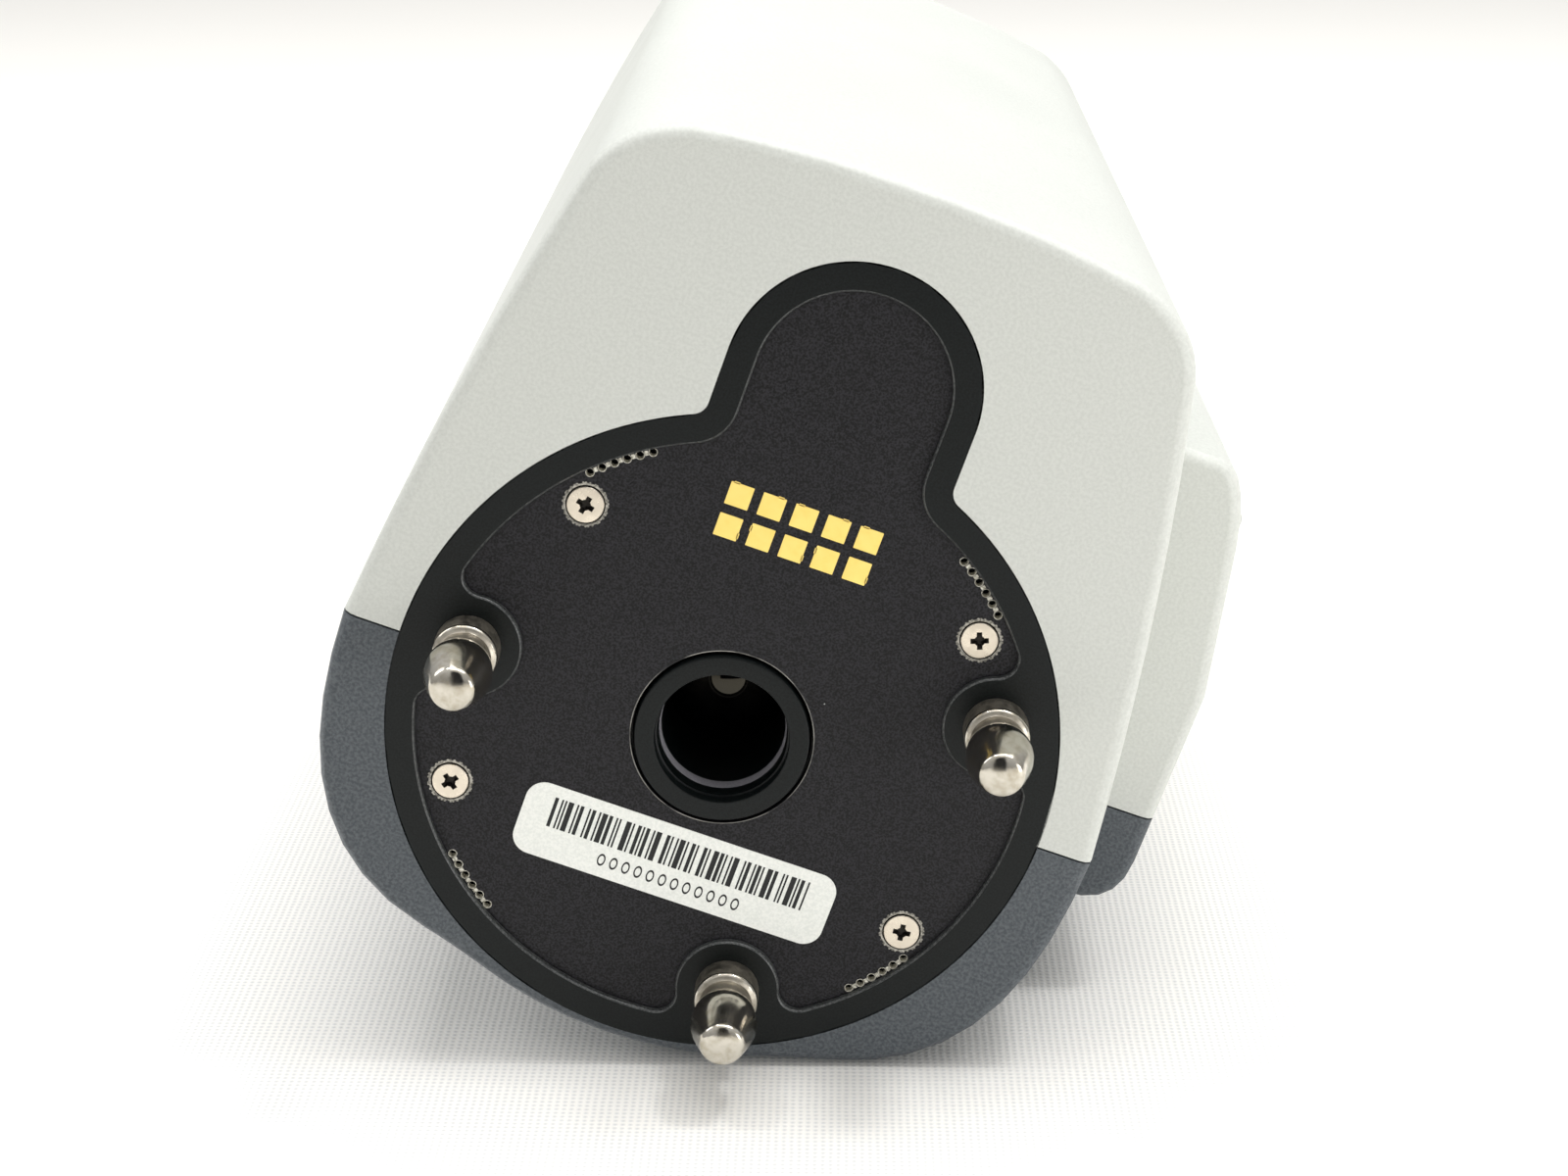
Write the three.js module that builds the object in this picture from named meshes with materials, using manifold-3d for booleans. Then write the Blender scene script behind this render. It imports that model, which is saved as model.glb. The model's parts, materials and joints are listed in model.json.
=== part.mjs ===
// Surveying total station: a fixed two-tone column on a keyed docking base, with a turning
// fork head, a tilting telescope and a carrying handle.
// Millimetres. +Z is up; the origin is on the vertical axis, at the face of the base rim.
// +Y is the rear (the side of the base's tongue) and -Y faces the person at the display.

import * as THREE from 'three';
import { mergeVertices } from 'three/addons/utils/BufferGeometryUtils.js';
import Module from 'manifold-3d';

// ---------------------------------------------------------------- driving dimensions

const BASE = {
  radius: 50, tongueHalfWidth: 18.4, tongueCentreY: 57.2, cornerFillet: 3, height: 10,
  rimWidth: 4, recessDepth: 3.1, lobeRadius: 8, lobeFillet: 3,
};
const PIN_CENTRES = [[40.19, 1.22], [-37.75, 15.69], [-14.21, -38.36]];
const SCREW_CENTRES = [[30.7, 27.6], [-30.7, 27.6], [36.2, -20.5], [-36.2, -20.5]];
const BOARD = { face: 1.2, thickness: 1.6, hole: 13.5 };
const LABEL = { length: 49.5, width: 12, centreY: -21.7, corner: 3 };
const PLUMMET = { outer: 13.2, mouth: 10.1, bore: 9.25, lens: 8.9, face: 0.6, top: 40 };

const WALL = 3;
const GAP = 0.3;
const COLUMN = { height: 236, deck: 3, frontCut: -45.5, frontCutFrom: 60 };
const BUMP = { bottom: 28, top: 174, face: 72.3 };
const EDGE_ROUND = 2.2;
const DOOR = { bottom: 54, top: 164, front: 4, rear: 42.6, thickness: 2.6 };
const HINGE = { x: -68.87, y: 45.68, barrel: 2.6, bore: 1.35, pin: 1.15 };
const BATTERY = { x: [-65.5, -39], y: [8, 40], z: [60, 158] };

const PANEL = { halfWidth: 29, bottom: 83, top: 209, plugHalfWidth: 25.6, plugInset: 3.4 };
const DISPLAY = { halfWidth: 22.5, bottom: 152, top: 200 };
const KEY = { front: -49.3, back: -41.9, flange: 1.2, flangeThickness: 1 };
const FUNCTION_KEYS = { xs: [-16, 0, 16], z: 143, width: 11, height: 5.6 };
const NAV_PAD = { x: 0, z: 120, radius: 11 };
const ROUND_KEYS = { power_key: [-16, 98], enter_key: [16, 98] };
const ROUND_KEY_RADIUS = 5.5;
const PORT = { halfWidth: 12, bottom: 67, top: 77, axisY: -46.9, axisZ: 65.2, halfCover: 14 };
const RELEASE = { y: [-7.5, -2], z: [94, 110] };

const SHAFT = { radius: 15, bottom: 145, shoulder: 233, flange: 26, top: 240.7 };
const CHASSIS = {
  lowerRadius: 46, upperRadius: 47, lowerTop: 16, upperBottom: 160, postRadius: 5, slotY: -35,
  posts: [[24, 34], [-24, 34], [30, -25], [-30, -25]],
};
const ENCODER = { radius: 28, bottom: 150, thickness: 1.2, headFrom: 24, headTo: 36, headHalf: 8 };
const MOTOR = { bottom: 190, top: 213, rotor: 18.4, stator: 19 };
const BEARINGS = { lower_bearing: [176, 186], upper_bearing: [217, 227] };
const HOUSING = { bottom: 168, top: 230, bore: 24.2, tube: 29, flange: 34 };
const TURNTABLE = { bottom: 241, top: 252, radius: 52 };
const TRUNNION_Z = 302;
const UPRIGHT = { inner: 29, outer: 44, top: 346, halfDepth: 43, corner: 26, reach: 51.2 };
const KNOB_HEIGHTS = [TRUNNION_Z, 272];
const KNOB = { radius: 9.5, fluteDepth: 0.8, flutes: 12, cap: 7.6, stem: 3, near: 47.8, far: 60 };
const SIDE_COVER = { halfWidth: 20.5, bottom: 256, top: 342, thickness: 3 };
const AXLE = { radius: 9, bearing: 13, seat: 13.3, end: 41.5 };
const HANDLE = { halfSpan: 43, grip: 366, top: 380, halfDepth: 10, legWidth: 11 };
const TELESCOPE = { halfWidth: 25, halfHeight: 27, front: 32, back: -24, corner: 10 };
const OBJECTIVE = { outer: 20.4, inner: 17.2, end: 43.8 };
const EYEPIECE = { tube: 11.2, bore: 7.5, tubeEnd: -36, ring: 12, end: -44.5 };

const FINISH = {
  white: { color: 0xd5d6cf, roughness: 0.5, metalness: 0 },
  slate: { color: 0x545a62, roughness: 0.55, metalness: 0 },
  black: { color: 0x1c2021, roughness: 0.6, metalness: 0 },
  steel: { color: 0xc9c6bf, roughness: 0.25, metalness: 1 },
  nickel: { color: 0xd9cfbe, roughness: 0.3, metalness: 1 },
  aluminium: { color: 0xb6b8ba, roughness: 0.4, metalness: 1 },
  board: { color: 0x2d2c30, roughness: 0.6, metalness: 0 },
  copper: { color: 0xb87346, roughness: 0.4, metalness: 1 },
  label: { color: 0xeceee8, roughness: 0.7, metalness: 0 },
  glass: { color: 0x20303a, roughness: 0.05, metalness: 0 },
  rubber: { color: 0x2a2c2e, roughness: 0.85, metalness: 0 },
};

// ---------------------------------------------------------------- solids

const wasm = await Module();
wasm.setup();

/** Weld a closed geometry into a solid that can be cut and joined. */
function toSolid(geometry) {
  const bare = geometry.clone();
  bare.deleteAttribute('normal');
  bare.deleteAttribute('uv');
  const welded = mergeVertices(bare, 1e-4);
  const index = welded.index.array;
  const triVerts = [];
  for (let i = 0; i < index.length; i += 3) {
    const [a, b, c] = [index[i], index[i + 1], index[i + 2]];
    if (a !== b && b !== c && c !== a) triVerts.push(a, b, c);
  }
  return new wasm.Manifold(new wasm.Mesh({
    numProp: 3,
    vertProperties: Float32Array.from(welded.attributes.position.array),
    triVerts: Uint32Array.from(triVerts),
  }));
}

/** Turn a finished solid back into a geometry. */
function toGeometry(solid) {
  const mesh = solid.getMesh();
  const geometry = new THREE.BufferGeometry();
  geometry.setAttribute('position', new THREE.BufferAttribute(mesh.vertProperties, 3));
  geometry.setIndex(new THREE.BufferAttribute(mesh.triVerts, 1));
  geometry.computeVertexNormals();
  return geometry;
}

/** Lay a geometry made along Z along another axis instead. */
function along(geometry, axis) {
  if (axis === 'x') geometry.rotateY(Math.PI / 2);
  if (axis === 'y') geometry.rotateX(-Math.PI / 2);
  return geometry;
}

const box = (x0, x1, y0, y1, z0, z1) => toSolid(
  new THREE.BoxGeometry(x1 - x0, y1 - y0, z1 - z0)
    .translate((x0 + x1) / 2, (y0 + y1) / 2, (z0 + z1) / 2));

/** Cylinder from `low` to `high` along an axis, about the line through `centre`. */
function cylinder(radius, low, high, { axis = 'z', centre = [0, 0, 0], sides = 32 } = {}) {
  const geometry = new THREE.CylinderGeometry(radius, radius, high - low, sides);
  geometry.rotateX(Math.PI / 2).translate(0, 0, (low + high) / 2);
  return toSolid(along(geometry, axis).translate(...centre));
}

/** Solid turned about an axis from [radius, position] pairs that close on themselves. */
function turned(profile, { axis = 'z', centre = [0, 0, 0], sides = 32 } = {}) {
  const points = [...profile, profile[0]].map(([r, z]) => new THREE.Vector2(r, z));
  const geometry = new THREE.LatheGeometry(points, sides).rotateX(Math.PI / 2);
  return outward(toSolid(along(geometry, axis).translate(...centre)), geometry);
}

/** A turned profile may run either way round: flip the faces if the solid is inside out. */
function outward(solid, geometry) {
  if (solid.volume() > 0) return solid;
  const index = geometry.index.array;
  for (let i = 0; i < index.length; i += 3) [index[i], index[i + 1]] = [index[i + 1], index[i]];
  return toSolid(geometry);
}

const ring = (inner, outer, low, high, options) => turned(
  [[inner, low], [outer, low], [outer, high], [inner, high]], options);

/** Prism on an outline of [x, y] points, from z0 to z1. */
function prism(points, z0, z1) {
  const shape = new THREE.Shape(points.map(([x, y]) => new THREE.Vector2(x, y)));
  const geometry = new THREE.ExtrudeGeometry(shape, { depth: z1 - z0, bevelEnabled: false });
  return toSolid(geometry.translate(0, 0, z0));
}

/** Prism whose lower edge is rounded, and its upper edge too if `both` is set. */
function roundedPrism(points, z0, z1, round, both = false) {
  const shape = new THREE.Shape(points.map(([x, y]) => new THREE.Vector2(x, y)));
  const tail = both ? 0 : round;
  const geometry = new THREE.ExtrudeGeometry(shape, {
    depth: z1 - z0 - 2 * round + tail, bevelThickness: round, bevelSize: round,
    bevelOffset: -round, bevelSegments: 3,
  });
  const solid = toSolid(geometry.translate(0, 0, z0 + round));
  return both ? solid : cut(solid, box(-90, 90, -100, 100, z1, z1 + 2 * round));
}

/** Prism along X on an outline of [y, z] points. */
function prismAcross(points, x0, x1) {
  const shape = new THREE.Shape(points.map(([y, z]) => new THREE.Vector2(y, z)));
  const geometry = new THREE.ExtrudeGeometry(shape, { depth: x1 - x0, bevelEnabled: false });
  return toSolid(geometry.rotateX(Math.PI / 2).rotateZ(Math.PI / 2).translate(x0, 0, 0));
}

/** Prism along Y on an outline of [x, z] points. */
function prismDeep(points, y0, y1) {
  const shape = new THREE.Shape(points.map(([x, z]) => new THREE.Vector2(x, z)));
  const geometry = new THREE.ExtrudeGeometry(shape, { depth: y1 - y0, bevelEnabled: false });
  return toSolid(geometry.rotateX(Math.PI / 2).translate(0, y1, 0));
}

const joined = (...solids) => solids.reduce((all, next) => all.add(next));
const cut = (solid, ...tools) => tools.reduce((left, tool) => left.subtract(tool), solid);

// ---------------------------------------------------------------- outlines

const arc = (cx, cy, radius, from, to, steps) => Array.from({ length: steps + 1 }, (_, i) => {
  const angle = from + ((to - from) * i) / steps;
  return [cx + radius * Math.cos(angle), cy + radius * Math.sin(angle)];
});

/** Rectangle with round corners, as points. */
function roundedRect(x0, x1, y0, y1, radius, steps = 5) {
  const quarter = Math.PI / 2;
  return [
    ...arc(x1 - radius, y0 + radius, radius, -quarter, 0, steps),
    ...arc(x1 - radius, y1 - radius, radius, 0, quarter, steps),
    ...arc(x0 + radius, y1 - radius, radius, quarter, 2 * quarter, steps),
    ...arc(x0 + radius, y0 + radius, radius, 2 * quarter, 3 * quarter, steps),
  ];
}

/** Move every point of an anticlockwise outline inwards by a distance. */
function inset(points, distance) {
  const n = points.length;
  return points.map(([x, y], i) => {
    const [px, py] = points[(i + n - 1) % n];
    const [qx, qy] = points[(i + 1) % n];
    const [a, b] = [Math.hypot(x - px, y - py), Math.hypot(qx - x, qy - y)];
    const [ux, uy] = [-(y - py) / a - (qy - y) / b, (x - px) / a + (qx - x) / b];
    const scale = (2 * distance) / (ux * ux + uy * uy);
    return [x + ux * scale, y + uy * scale];
  });
}

/** Keyhole of the docking base, grown outwards by `grow`: a circle joined to a tongue. */
function keyhole(grow = 0) {
  const radius = BASE.radius + grow;
  const half = BASE.tongueHalfWidth + grow;
  const fillet = BASE.cornerFillet - grow;
  const filletX = half + fillet;
  const filletY = Math.sqrt((radius + fillet) ** 2 - filletX ** 2);
  const lean = Math.atan2(filletY, filletX);
  return [
    ...arc(0, 0, radius, Math.PI - lean, 2 * Math.PI + lean, 44),
    ...arc(filletX, filletY, fillet, lean + Math.PI, Math.PI, 3).slice(1),
    ...arc(0, BASE.tongueCentreY, half, 0, Math.PI, 12),
    ...arc(-filletX, filletY, fillet, 0, -lean, 3),
  ].slice(0, -1);
}

/** Lobe around a locating pin, flowing into the rim on both sides. */
function lobe([x, y], grow = 0) {
  const rim = BASE.radius - BASE.rimWidth - grow;
  const radius = BASE.lobeRadius + grow;
  const fillet = BASE.lobeFillet - grow;
  const reach = Math.hypot(x, y);
  const spread = Math.acos((reach ** 2 + (rim - fillet) ** 2 - (radius + fillet) ** 2)
    / (2 * reach * (rim - fillet)));
  const fx = (rim - fillet) * Math.cos(spread) - reach;
  const fy = (rim - fillet) * Math.sin(spread);
  const back = Math.atan2(fy, fx);
  const side = [
    ...arc(fx + reach, fy, fillet, spread, back - Math.PI, 3),
    ...arc(reach, 0, radius, back, Math.PI, 6).slice(1),
  ];
  const mirrored = side.slice(0, -1).reverse().map(([u, v]) => [u, -v]);
  const outer = rim + BASE.rimWidth / 2;
  const points = [[outer * Math.cos(spread), outer * Math.sin(spread)], ...side, ...mirrored,
    [outer * Math.cos(spread), -outer * Math.sin(spread)]];
  const [c, s] = [x / reach, y / reach];
  return points.map(([u, v]) => [u * c - v * s, u * s + v * c]);
}

/** Plan of the column: a flat rear, sides that swell forward and a rounded nose. */
function columnOutline() {
  const half = new THREE.Path();
  half.moveTo(0, -52.3);
  half.quadraticCurveTo(11.5, -52.3, 22.4, -48.3);
  half.quadraticCurveTo(27.4, -46.5, 33, -45);
  half.bezierCurveTo(53, -39.8, 59.3, -23, 59.3, 0);
  half.quadraticCurveTo(55, 40, 46, 75);
  half.quadraticCurveTo(43.6, 82.6, 34, 85.5);
  half.quadraticCurveTo(20, 88, 0, 88);
  const right = half.getPoints(9).map((p) => [p.x, p.y]);
  const left = right.slice(1, -1).reverse().map(([x, y]) => [-x, y]);
  return [...right, ...left];
}

/** Plan of the battery bump on the -X side, closed inside the column. */
function bumpOutline() {
  const path = new THREE.Path();
  path.moveTo(-36, -17);
  path.lineTo(-36, 59.3);
  path.lineTo(-60, 59.3);
  path.quadraticCurveTo(-65, 59.3, -67.7, 46.5);
  path.lineTo(-BUMP.face, 22);
  path.lineTo(-BUMP.face, -8);
  path.quadraticCurveTo(-BUMP.face, -17, -63, -17);
  return path.getPoints(5).map((p) => [p.x, p.y]);
}

// ---------------------------------------------------------------- docking base

function baseFrame() {
  const recess = cut(
    prism(keyhole(-BASE.rimWidth), -1, BASE.recessDepth),
    ...PIN_CENTRES.map((centre) => prism(lobe(centre), -2, BASE.recessDepth + 1)));
  const pinHoles = PIN_CENTRES.map(
    ([x, y]) => cylinder(3.8, -1, 7, { centre: [x, y, 0], sides: 16 }));
  const screwHoles = SCREW_CENTRES.map(
    ([x, y]) => cylinder(1.8, -1, 9, { centre: [x, y, 0], sides: 12 }));
  const plummetHole = cylinder(PLUMMET.outer + GAP, -1, BASE.height + 1, { sides: 40 });
  return cut(prism(keyhole(), 0, BASE.height), recess, ...pinHoles, ...screwHoles, plummetHole);
}

function contactBoard() {
  const { face, thickness, hole } = BOARD;
  const plate = prism(keyhole(-BASE.rimWidth - GAP), face, face + thickness);
  const lobes = PIN_CENTRES.map((centre) => prism(lobe(centre, GAP), 0, face + thickness + 1));
  const screwHoles = SCREW_CENTRES.map(
    ([x, y]) => cylinder(3.1, 0, 4, { centre: [x, y, 0], sides: 16 }));
  return cut(plate, ...lobes, ...screwHoles, cylinder(hole, 0, 4, { sides: 40 }));
}

/** Stepped steel pin: collar, groove, round barrel and a tapering nose. */
const locatingPin = ([x, y]) => turned([
  [0, -19.5], [2.7, -19.4], [3.2, -18.8], [4.3, -15.6], [4.9, -13.2], [5, -11.8], [4.6, -9],
  [4, -7.5], [4, -5.2], [4.9, -4.2], [4.9, -0.1], [3.4, -0.1], [3.4, 6], [0, 6],
], { centre: [x, y, 0], sides: 20 });

const boardScrew = ([x, y]) => turned([
  [0, 0.75], [2.3, 0.75], [2.7, 1.1], [2.7, 1.4], [1.45, 2.8], [1.45, 8], [0, 8],
], { centre: [x, y, 0], sides: 12 });

function serialLabel() {
  const { length, width, centreY, corner } = LABEL;
  const outline = roundedRect(-length / 2, length / 2, centreY - width / 2, centreY + width / 2,
    corner);
  return prism(outline, BOARD.face - 0.25, BOARD.face - 0.1);
}

const plummetBarrel = () => turned([
  [PLUMMET.mouth, PLUMMET.face], [PLUMMET.outer, PLUMMET.face], [PLUMMET.outer, PLUMMET.top],
  [PLUMMET.bore, PLUMMET.top], [PLUMMET.bore, 5.6], [PLUMMET.mouth, 5.6],
], { sides: 40 });

const plummetLens = () => turned(
  [[0, 12.4], [4.5, 12.8], [PLUMMET.lens, 14], [PLUMMET.lens, 16.5], [0, 16.5]]);

// ---------------------------------------------------------------- column shells

/** Both column shells before they are parted: hollow, open at the top and at the base. */
function shellBlank() {
  const { height, frontCut, frontCutFrom } = COLUMN;
  const outer = cut(
    joined(roundedPrism(columnOutline(), 0, height, EDGE_ROUND),
      roundedPrism(bumpOutline(), BUMP.bottom, BUMP.top, EDGE_ROUND, true)),
    box(-90, 90, -90, frontCut, frontCutFrom, height + 2));
  const hollow = cut(
    joined(prism(inset(columnOutline(), WALL), WALL, height + 1),
      prism(inset(bumpOutline(), WALL), BUMP.bottom + WALL, BUMP.top - WALL)),
    box(-90, 90, -90, frontCut + WALL, frontCutFrom - WALL, height + 2));
  return cut(outer, hollow, prism(keyhole(GAP), -1, BASE.height + GAP));
}

const hingeCylinder = (radius, low, high) => cylinder(
  radius, low, high, { centre: [HINGE.x, HINGE.y, 0], sides: 16 });

function rearShell(blank) {
  const { bottom, top, front, rear } = DOOR;
  const knuckles = joined(hingeCylinder(HINGE.barrel, bottom - 4, bottom + 3.6),
    hingeCylinder(HINGE.barrel, top - 3.6, top + 4));
  const half = blank.intersect(box(-90, 90, GAP / 2, 95, -1, COLUMN.height + 1));
  return cut(joined(half, knuckles),
    box(-80, -60, front - 0.5, rear + 0.5, bottom - 0.4, top + 0.4),
    box(-80, -64.5, rear - 1, HINGE.y + 0.3, bottom + 3.7, top - 3.7),
    hingeCylinder(HINGE.barrel + 0.4, bottom + 3.7, top - 3.7),
    hingeCylinder(HINGE.bore, bottom - 3.2, top + 3.2));
}

function frontShell(blank) {
  const { plugHalfWidth, plugInset, bottom, top } = PANEL;
  const panelHole = box(-plugHalfWidth - GAP, plugHalfWidth + GAP, -50, -40,
    bottom + plugInset - GAP, top - plugInset + GAP);
  const portHole = box(-PORT.halfWidth, PORT.halfWidth, -50, -40, PORT.bottom, PORT.top);
  const releaseHole = box(-80, -66, RELEASE.y[0] - GAP, RELEASE.y[1] + GAP,
    RELEASE.z[0] - GAP, RELEASE.z[1] + GAP);
  const earNear = PORT.halfCover + 0.4;
  const earFar = PORT.halfCover + 3;
  const ears = [[earNear, earFar], [-earFar, -earNear]].map(([from, to]) => cylinder(1.7, from, to,
    { axis: 'x', centre: [0, PORT.axisY, PORT.axisZ] }));
  const half = blank.intersect(box(-90, 90, -95, -GAP / 2, -1, COLUMN.height + 1));
  const pivot = cylinder(0.85, -PORT.halfCover - 2, PORT.halfCover + 2,
    { axis: 'x', centre: [0, PORT.axisY, PORT.axisZ], sides: 12 });
  return cut(joined(half, ...ears), panelHole, portHole, releaseHole, pivot);
}

function deckCover() {
  const { height, deck, frontCut } = COLUMN;
  const plate = prism(columnOutline(), height + GAP, height + GAP + deck);
  return cut(plate, box(-90, 90, -90, frontCut, height, height + 9),
    cylinder(SHAFT.flange + 2, height, height + 9, { sides: 48 }));
}

// ---------------------------------------------------------------- battery side

/** Door that follows the bump's outer face and wraps round its own hinge barrel. */
function batteryDoor() {
  const { bottom, top, front, rear, thickness } = DOOR;
  const lean = (67.7 - BUMP.face) / (46.5 - 22);
  const faceAt = (y) => -BUMP.face - lean * Math.max(0, y - 22);
  const outer = [[faceAt(rear), rear], [faceAt(22), 22], [faceAt(front), front]];
  const inner = outer.map(([x, y]) => [x + thickness, y]).reverse();
  const plate = prism([...outer, ...inner], bottom, top);
  const web = prism([[-68.4, rear - 1], [-66.3, rear - 1], [-67.4, HINGE.y],
    [-69.6, HINGE.y]], bottom + 4, top - 4);
  return cut(joined(plate, web, hingeCylinder(HINGE.barrel, bottom + 4, top - 4)),
    hingeCylinder(HINGE.bore, bottom, top));
}

const hingePin = () => hingeCylinder(HINGE.pin, DOOR.bottom - 3, DOOR.top + 3);

function batteryPack() {
  const { x, y, z } = BATTERY;
  return prism(roundedRect(x[0], x[1], y[0], y[1], 4), z[0], z[1]);
}

function releaseButton() {
  const { y, z } = RELEASE;
  const stem = box(-BUMP.face - 1, -67.9, y[0], y[1], z[0], z[1]);
  return joined(stem, box(-68.9, -67.9, y[0] - 1, y[1] + 0.8, z[0] - 1, z[1] + 1));
}

// ---------------------------------------------------------------- control panel

/** Outline of a key, in [x, z], grown by `grow` for its hole or its stop flange. */
function keyOutlines(grow) {
  const { xs, z, width, height } = FUNCTION_KEYS;
  const outlines = {};
  xs.forEach((x, i) => {
    outlines[`function_key_${i + 1}`] = roundedRect(x - width / 2 - grow, x + width / 2 + grow,
      z - height / 2 - grow, z + height / 2 + grow, 2, 2);
  });
  outlines.nav_pad = arc(NAV_PAD.x, NAV_PAD.z, NAV_PAD.radius + grow, 0, 2 * Math.PI, 20)
    .slice(1);
  for (const [name, [x, z0]] of Object.entries(ROUND_KEYS)) {
    outlines[name] = arc(x, z0, ROUND_KEY_RADIUS + grow, 0, 2 * Math.PI, 16).slice(1);
  }
  return outlines;
}

function panelBezel() {
  const { halfWidth, bottom, top, plugHalfWidth, plugInset } = PANEL;
  const face = COLUMN.frontCut;
  const flange = prismDeep(roundedRect(-halfWidth, halfWidth, bottom, top, 5), face - 2,
    face - GAP);
  const plug = box(-plugHalfWidth, plugHalfWidth, face - 1, -42, bottom + plugInset,
    top - plugInset);
  const { halfWidth: w, bottom: z0, top: z1 } = DISPLAY;
  const holes = Object.values(keyOutlines(GAP)).map((outline) => prismDeep(outline, -52, -38));
  return cut(joined(flange, plug), box(-w, w, -52, -38, z0, z1), ...holes);
}

const displayGlass = () => box(GAP - DISPLAY.halfWidth, DISPLAY.halfWidth - GAP, -47.1, -44.6,
  DISPLAY.bottom + GAP, DISPLAY.top - GAP);

/** Keys by name: each a cap with a stop flange behind the bezel. */
function keys() {
  const caps = keyOutlines(0);
  const flanges = keyOutlines(KEY.flange);
  return Object.keys(caps).map((name) => [name, joined(
    prismDeep(caps[name], KEY.front, KEY.back + KEY.flangeThickness),
    prismDeep(flanges[name], KEY.back + 0.1, KEY.back + KEY.flangeThickness))]);
}

const mainBoard = () => box(-26, 26, -38, -36.4, 84, 208);

function portSocket() {
  const { halfWidth, bottom, top } = PORT;
  return cut(box(GAP - halfWidth, halfWidth - GAP, -45.3, -37, bottom + GAP, top - GAP),
    box(-5, 5, -46, -39, bottom + 2.5, top - 2.5));
}

/** Flap over the port, with stub pivots in the shell's ears. */
function portCover() {
  const { halfCover: w, axisY, axisZ } = PORT;
  const centre = [0, axisY, axisZ];
  const flap = prismDeep(roundedRect(-w, w, axisZ, 79, 1.5, 3), -47.8, -45.8);
  return joined(flap, cylinder(1.15, -w, w, { axis: 'x', centre, sides: 16 }),
    cylinder(0.7, -w - 1.7, w + 1.7, { axis: 'x', centre, sides: 12 }));
}

// ---------------------------------------------------------------- inside the column

/** Two plates on four posts: the base bolts below it and the axis housing above. */
function chassis() {
  const { lowerRadius, upperRadius, lowerTop, upperBottom, postRadius, slotY } = CHASSIS;
  const top = HOUSING.bottom - GAP;
  const lower = cut(cylinder(lowerRadius, BASE.height + GAP, lowerTop),
    cylinder(PLUMMET.outer + GAP + 0.5, 0, lowerTop + 1));
  const upper = cut(cylinder(upperRadius, upperBottom, top),
    cylinder(SHAFT.radius + 1.5, upperBottom - 1, top + 1),
    box(-60, 60, -60, slotY, upperBottom - 1, top + 1));
  const posts = CHASSIS.posts.map(([x, y]) => cylinder(postRadius, lowerTop - 1, upperBottom + 1,
    { centre: [x, y, 0], sides: 12 }));
  return joined(lower, upper, ...posts);
}

const axisHousing = () => {
  const { bottom, top, bore, tube, flange } = HOUSING;
  const lip = SHAFT.radius + 1.5;
  return turned([[lip, bottom], [flange, bottom], [flange, bottom + 6], [tube, bottom + 6],
    [tube, top], [bore, top], [bore, bottom + 7], [lip, bottom + 7]]);
};

const shaftRing = (low, high) => ring(SHAFT.radius + 0.4, HOUSING.bore - 0.2, low, high,
  { sides: 32 });

/** Sensor block under the upper plate, slotted for the edge of the encoder disc. */
function readHead() {
  const { radius, bottom, thickness, headFrom, headTo, headHalf } = ENCODER;
  const clearance = 2.4;
  return cut(
    box(headFrom, headTo, -headHalf, headHalf, bottom - 7, CHASSIS.upperBottom - GAP),
    box(headFrom - 4, radius + 3, -headHalf - 2, headHalf + 2, bottom - clearance,
      bottom + thickness + clearance));
}

const bubbleVial = () => turned([[0, 239.5], [10, 239.5], [10, 244], [8, 245.4], [0, 245.9]],
  { centre: [0, 70, 0], sides: 24 });

// ---------------------------------------------------------------- turning head

const azimuthShaft = () => turned([[0, SHAFT.bottom], [SHAFT.radius, SHAFT.bottom],
  [SHAFT.radius, SHAFT.shoulder], [SHAFT.flange, SHAFT.shoulder], [SHAFT.flange, SHAFT.top],
  [0, SHAFT.top]]);

const turntable = () => {
  const { bottom, top, radius } = TURNTABLE;
  return turned([[0, bottom], [radius - 1.5, bottom], [radius, bottom + 1.5],
    [radius, top - 1.5], [radius - 1.5, top], [0, top]], { sides: 56 });
};

/** One side of the fork: a hollow block with a bearing seat for the telescope's axle. */
function upright(side) {
  const { inner, outer, top, halfDepth, corner, reach } = UPRIGHT;
  const bottom = TURNTABLE.top + GAP;
  const span = (from, to) => (side > 0 ? [from, to] : [-to, -from]);
  const profile = [
    [-halfDepth, bottom], [halfDepth, bottom],
    ...arc(halfDepth - corner, top - corner, corner, 0, Math.PI / 2, 8),
    ...arc(corner - halfDepth, top - corner, corner, Math.PI / 2, Math.PI, 8),
  ];
  const centre = [0, 0, TRUNNION_Z];
  const across = (radius, from, to) => cylinder(radius, ...span(from, to),
    { axis: 'x', centre });
  const block = prismAcross(profile, ...span(inner, outer))
    .intersect(cylinder(reach, bottom - 1, top + 1, { sides: 56 }));
  const pocket = prismAcross(roundedRect(-18, 18, 262, 336, 6, 3), ...span(inner + 4, outer + 2));
  const boss = across(AXLE.seat + 3, inner + 1, outer - 3);
  return cut(joined(cut(block, pocket), boss), across(AXLE.seat, inner - 2, outer));
}

function sideCover(side) {
  const { halfWidth, bottom, top, thickness } = SIDE_COVER;
  const near = UPRIGHT.outer + GAP;
  const span = side > 0 ? [near, near + thickness] : [-near - thickness, -near];
  const plate = prismAcross(roundedRect(-halfWidth, halfWidth, bottom, top, 8), ...span);
  if (side > 0) return plate;
  return cut(plate, ...KNOB_HEIGHTS.map((z) => cylinder(3.5, -near - 5, 2 - near,
    { axis: 'x', centre: [0, 0, z], sides: 24 })));
}

const trunnionBearing = (side) => ring(AXLE.radius + 0.3, AXLE.bearing,
  side > 0 ? 29.6 : -40.6, side > 0 ? 40.6 : -29.6,
  { axis: 'x', centre: [0, 0, TRUNNION_Z], sides: 36 });

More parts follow.
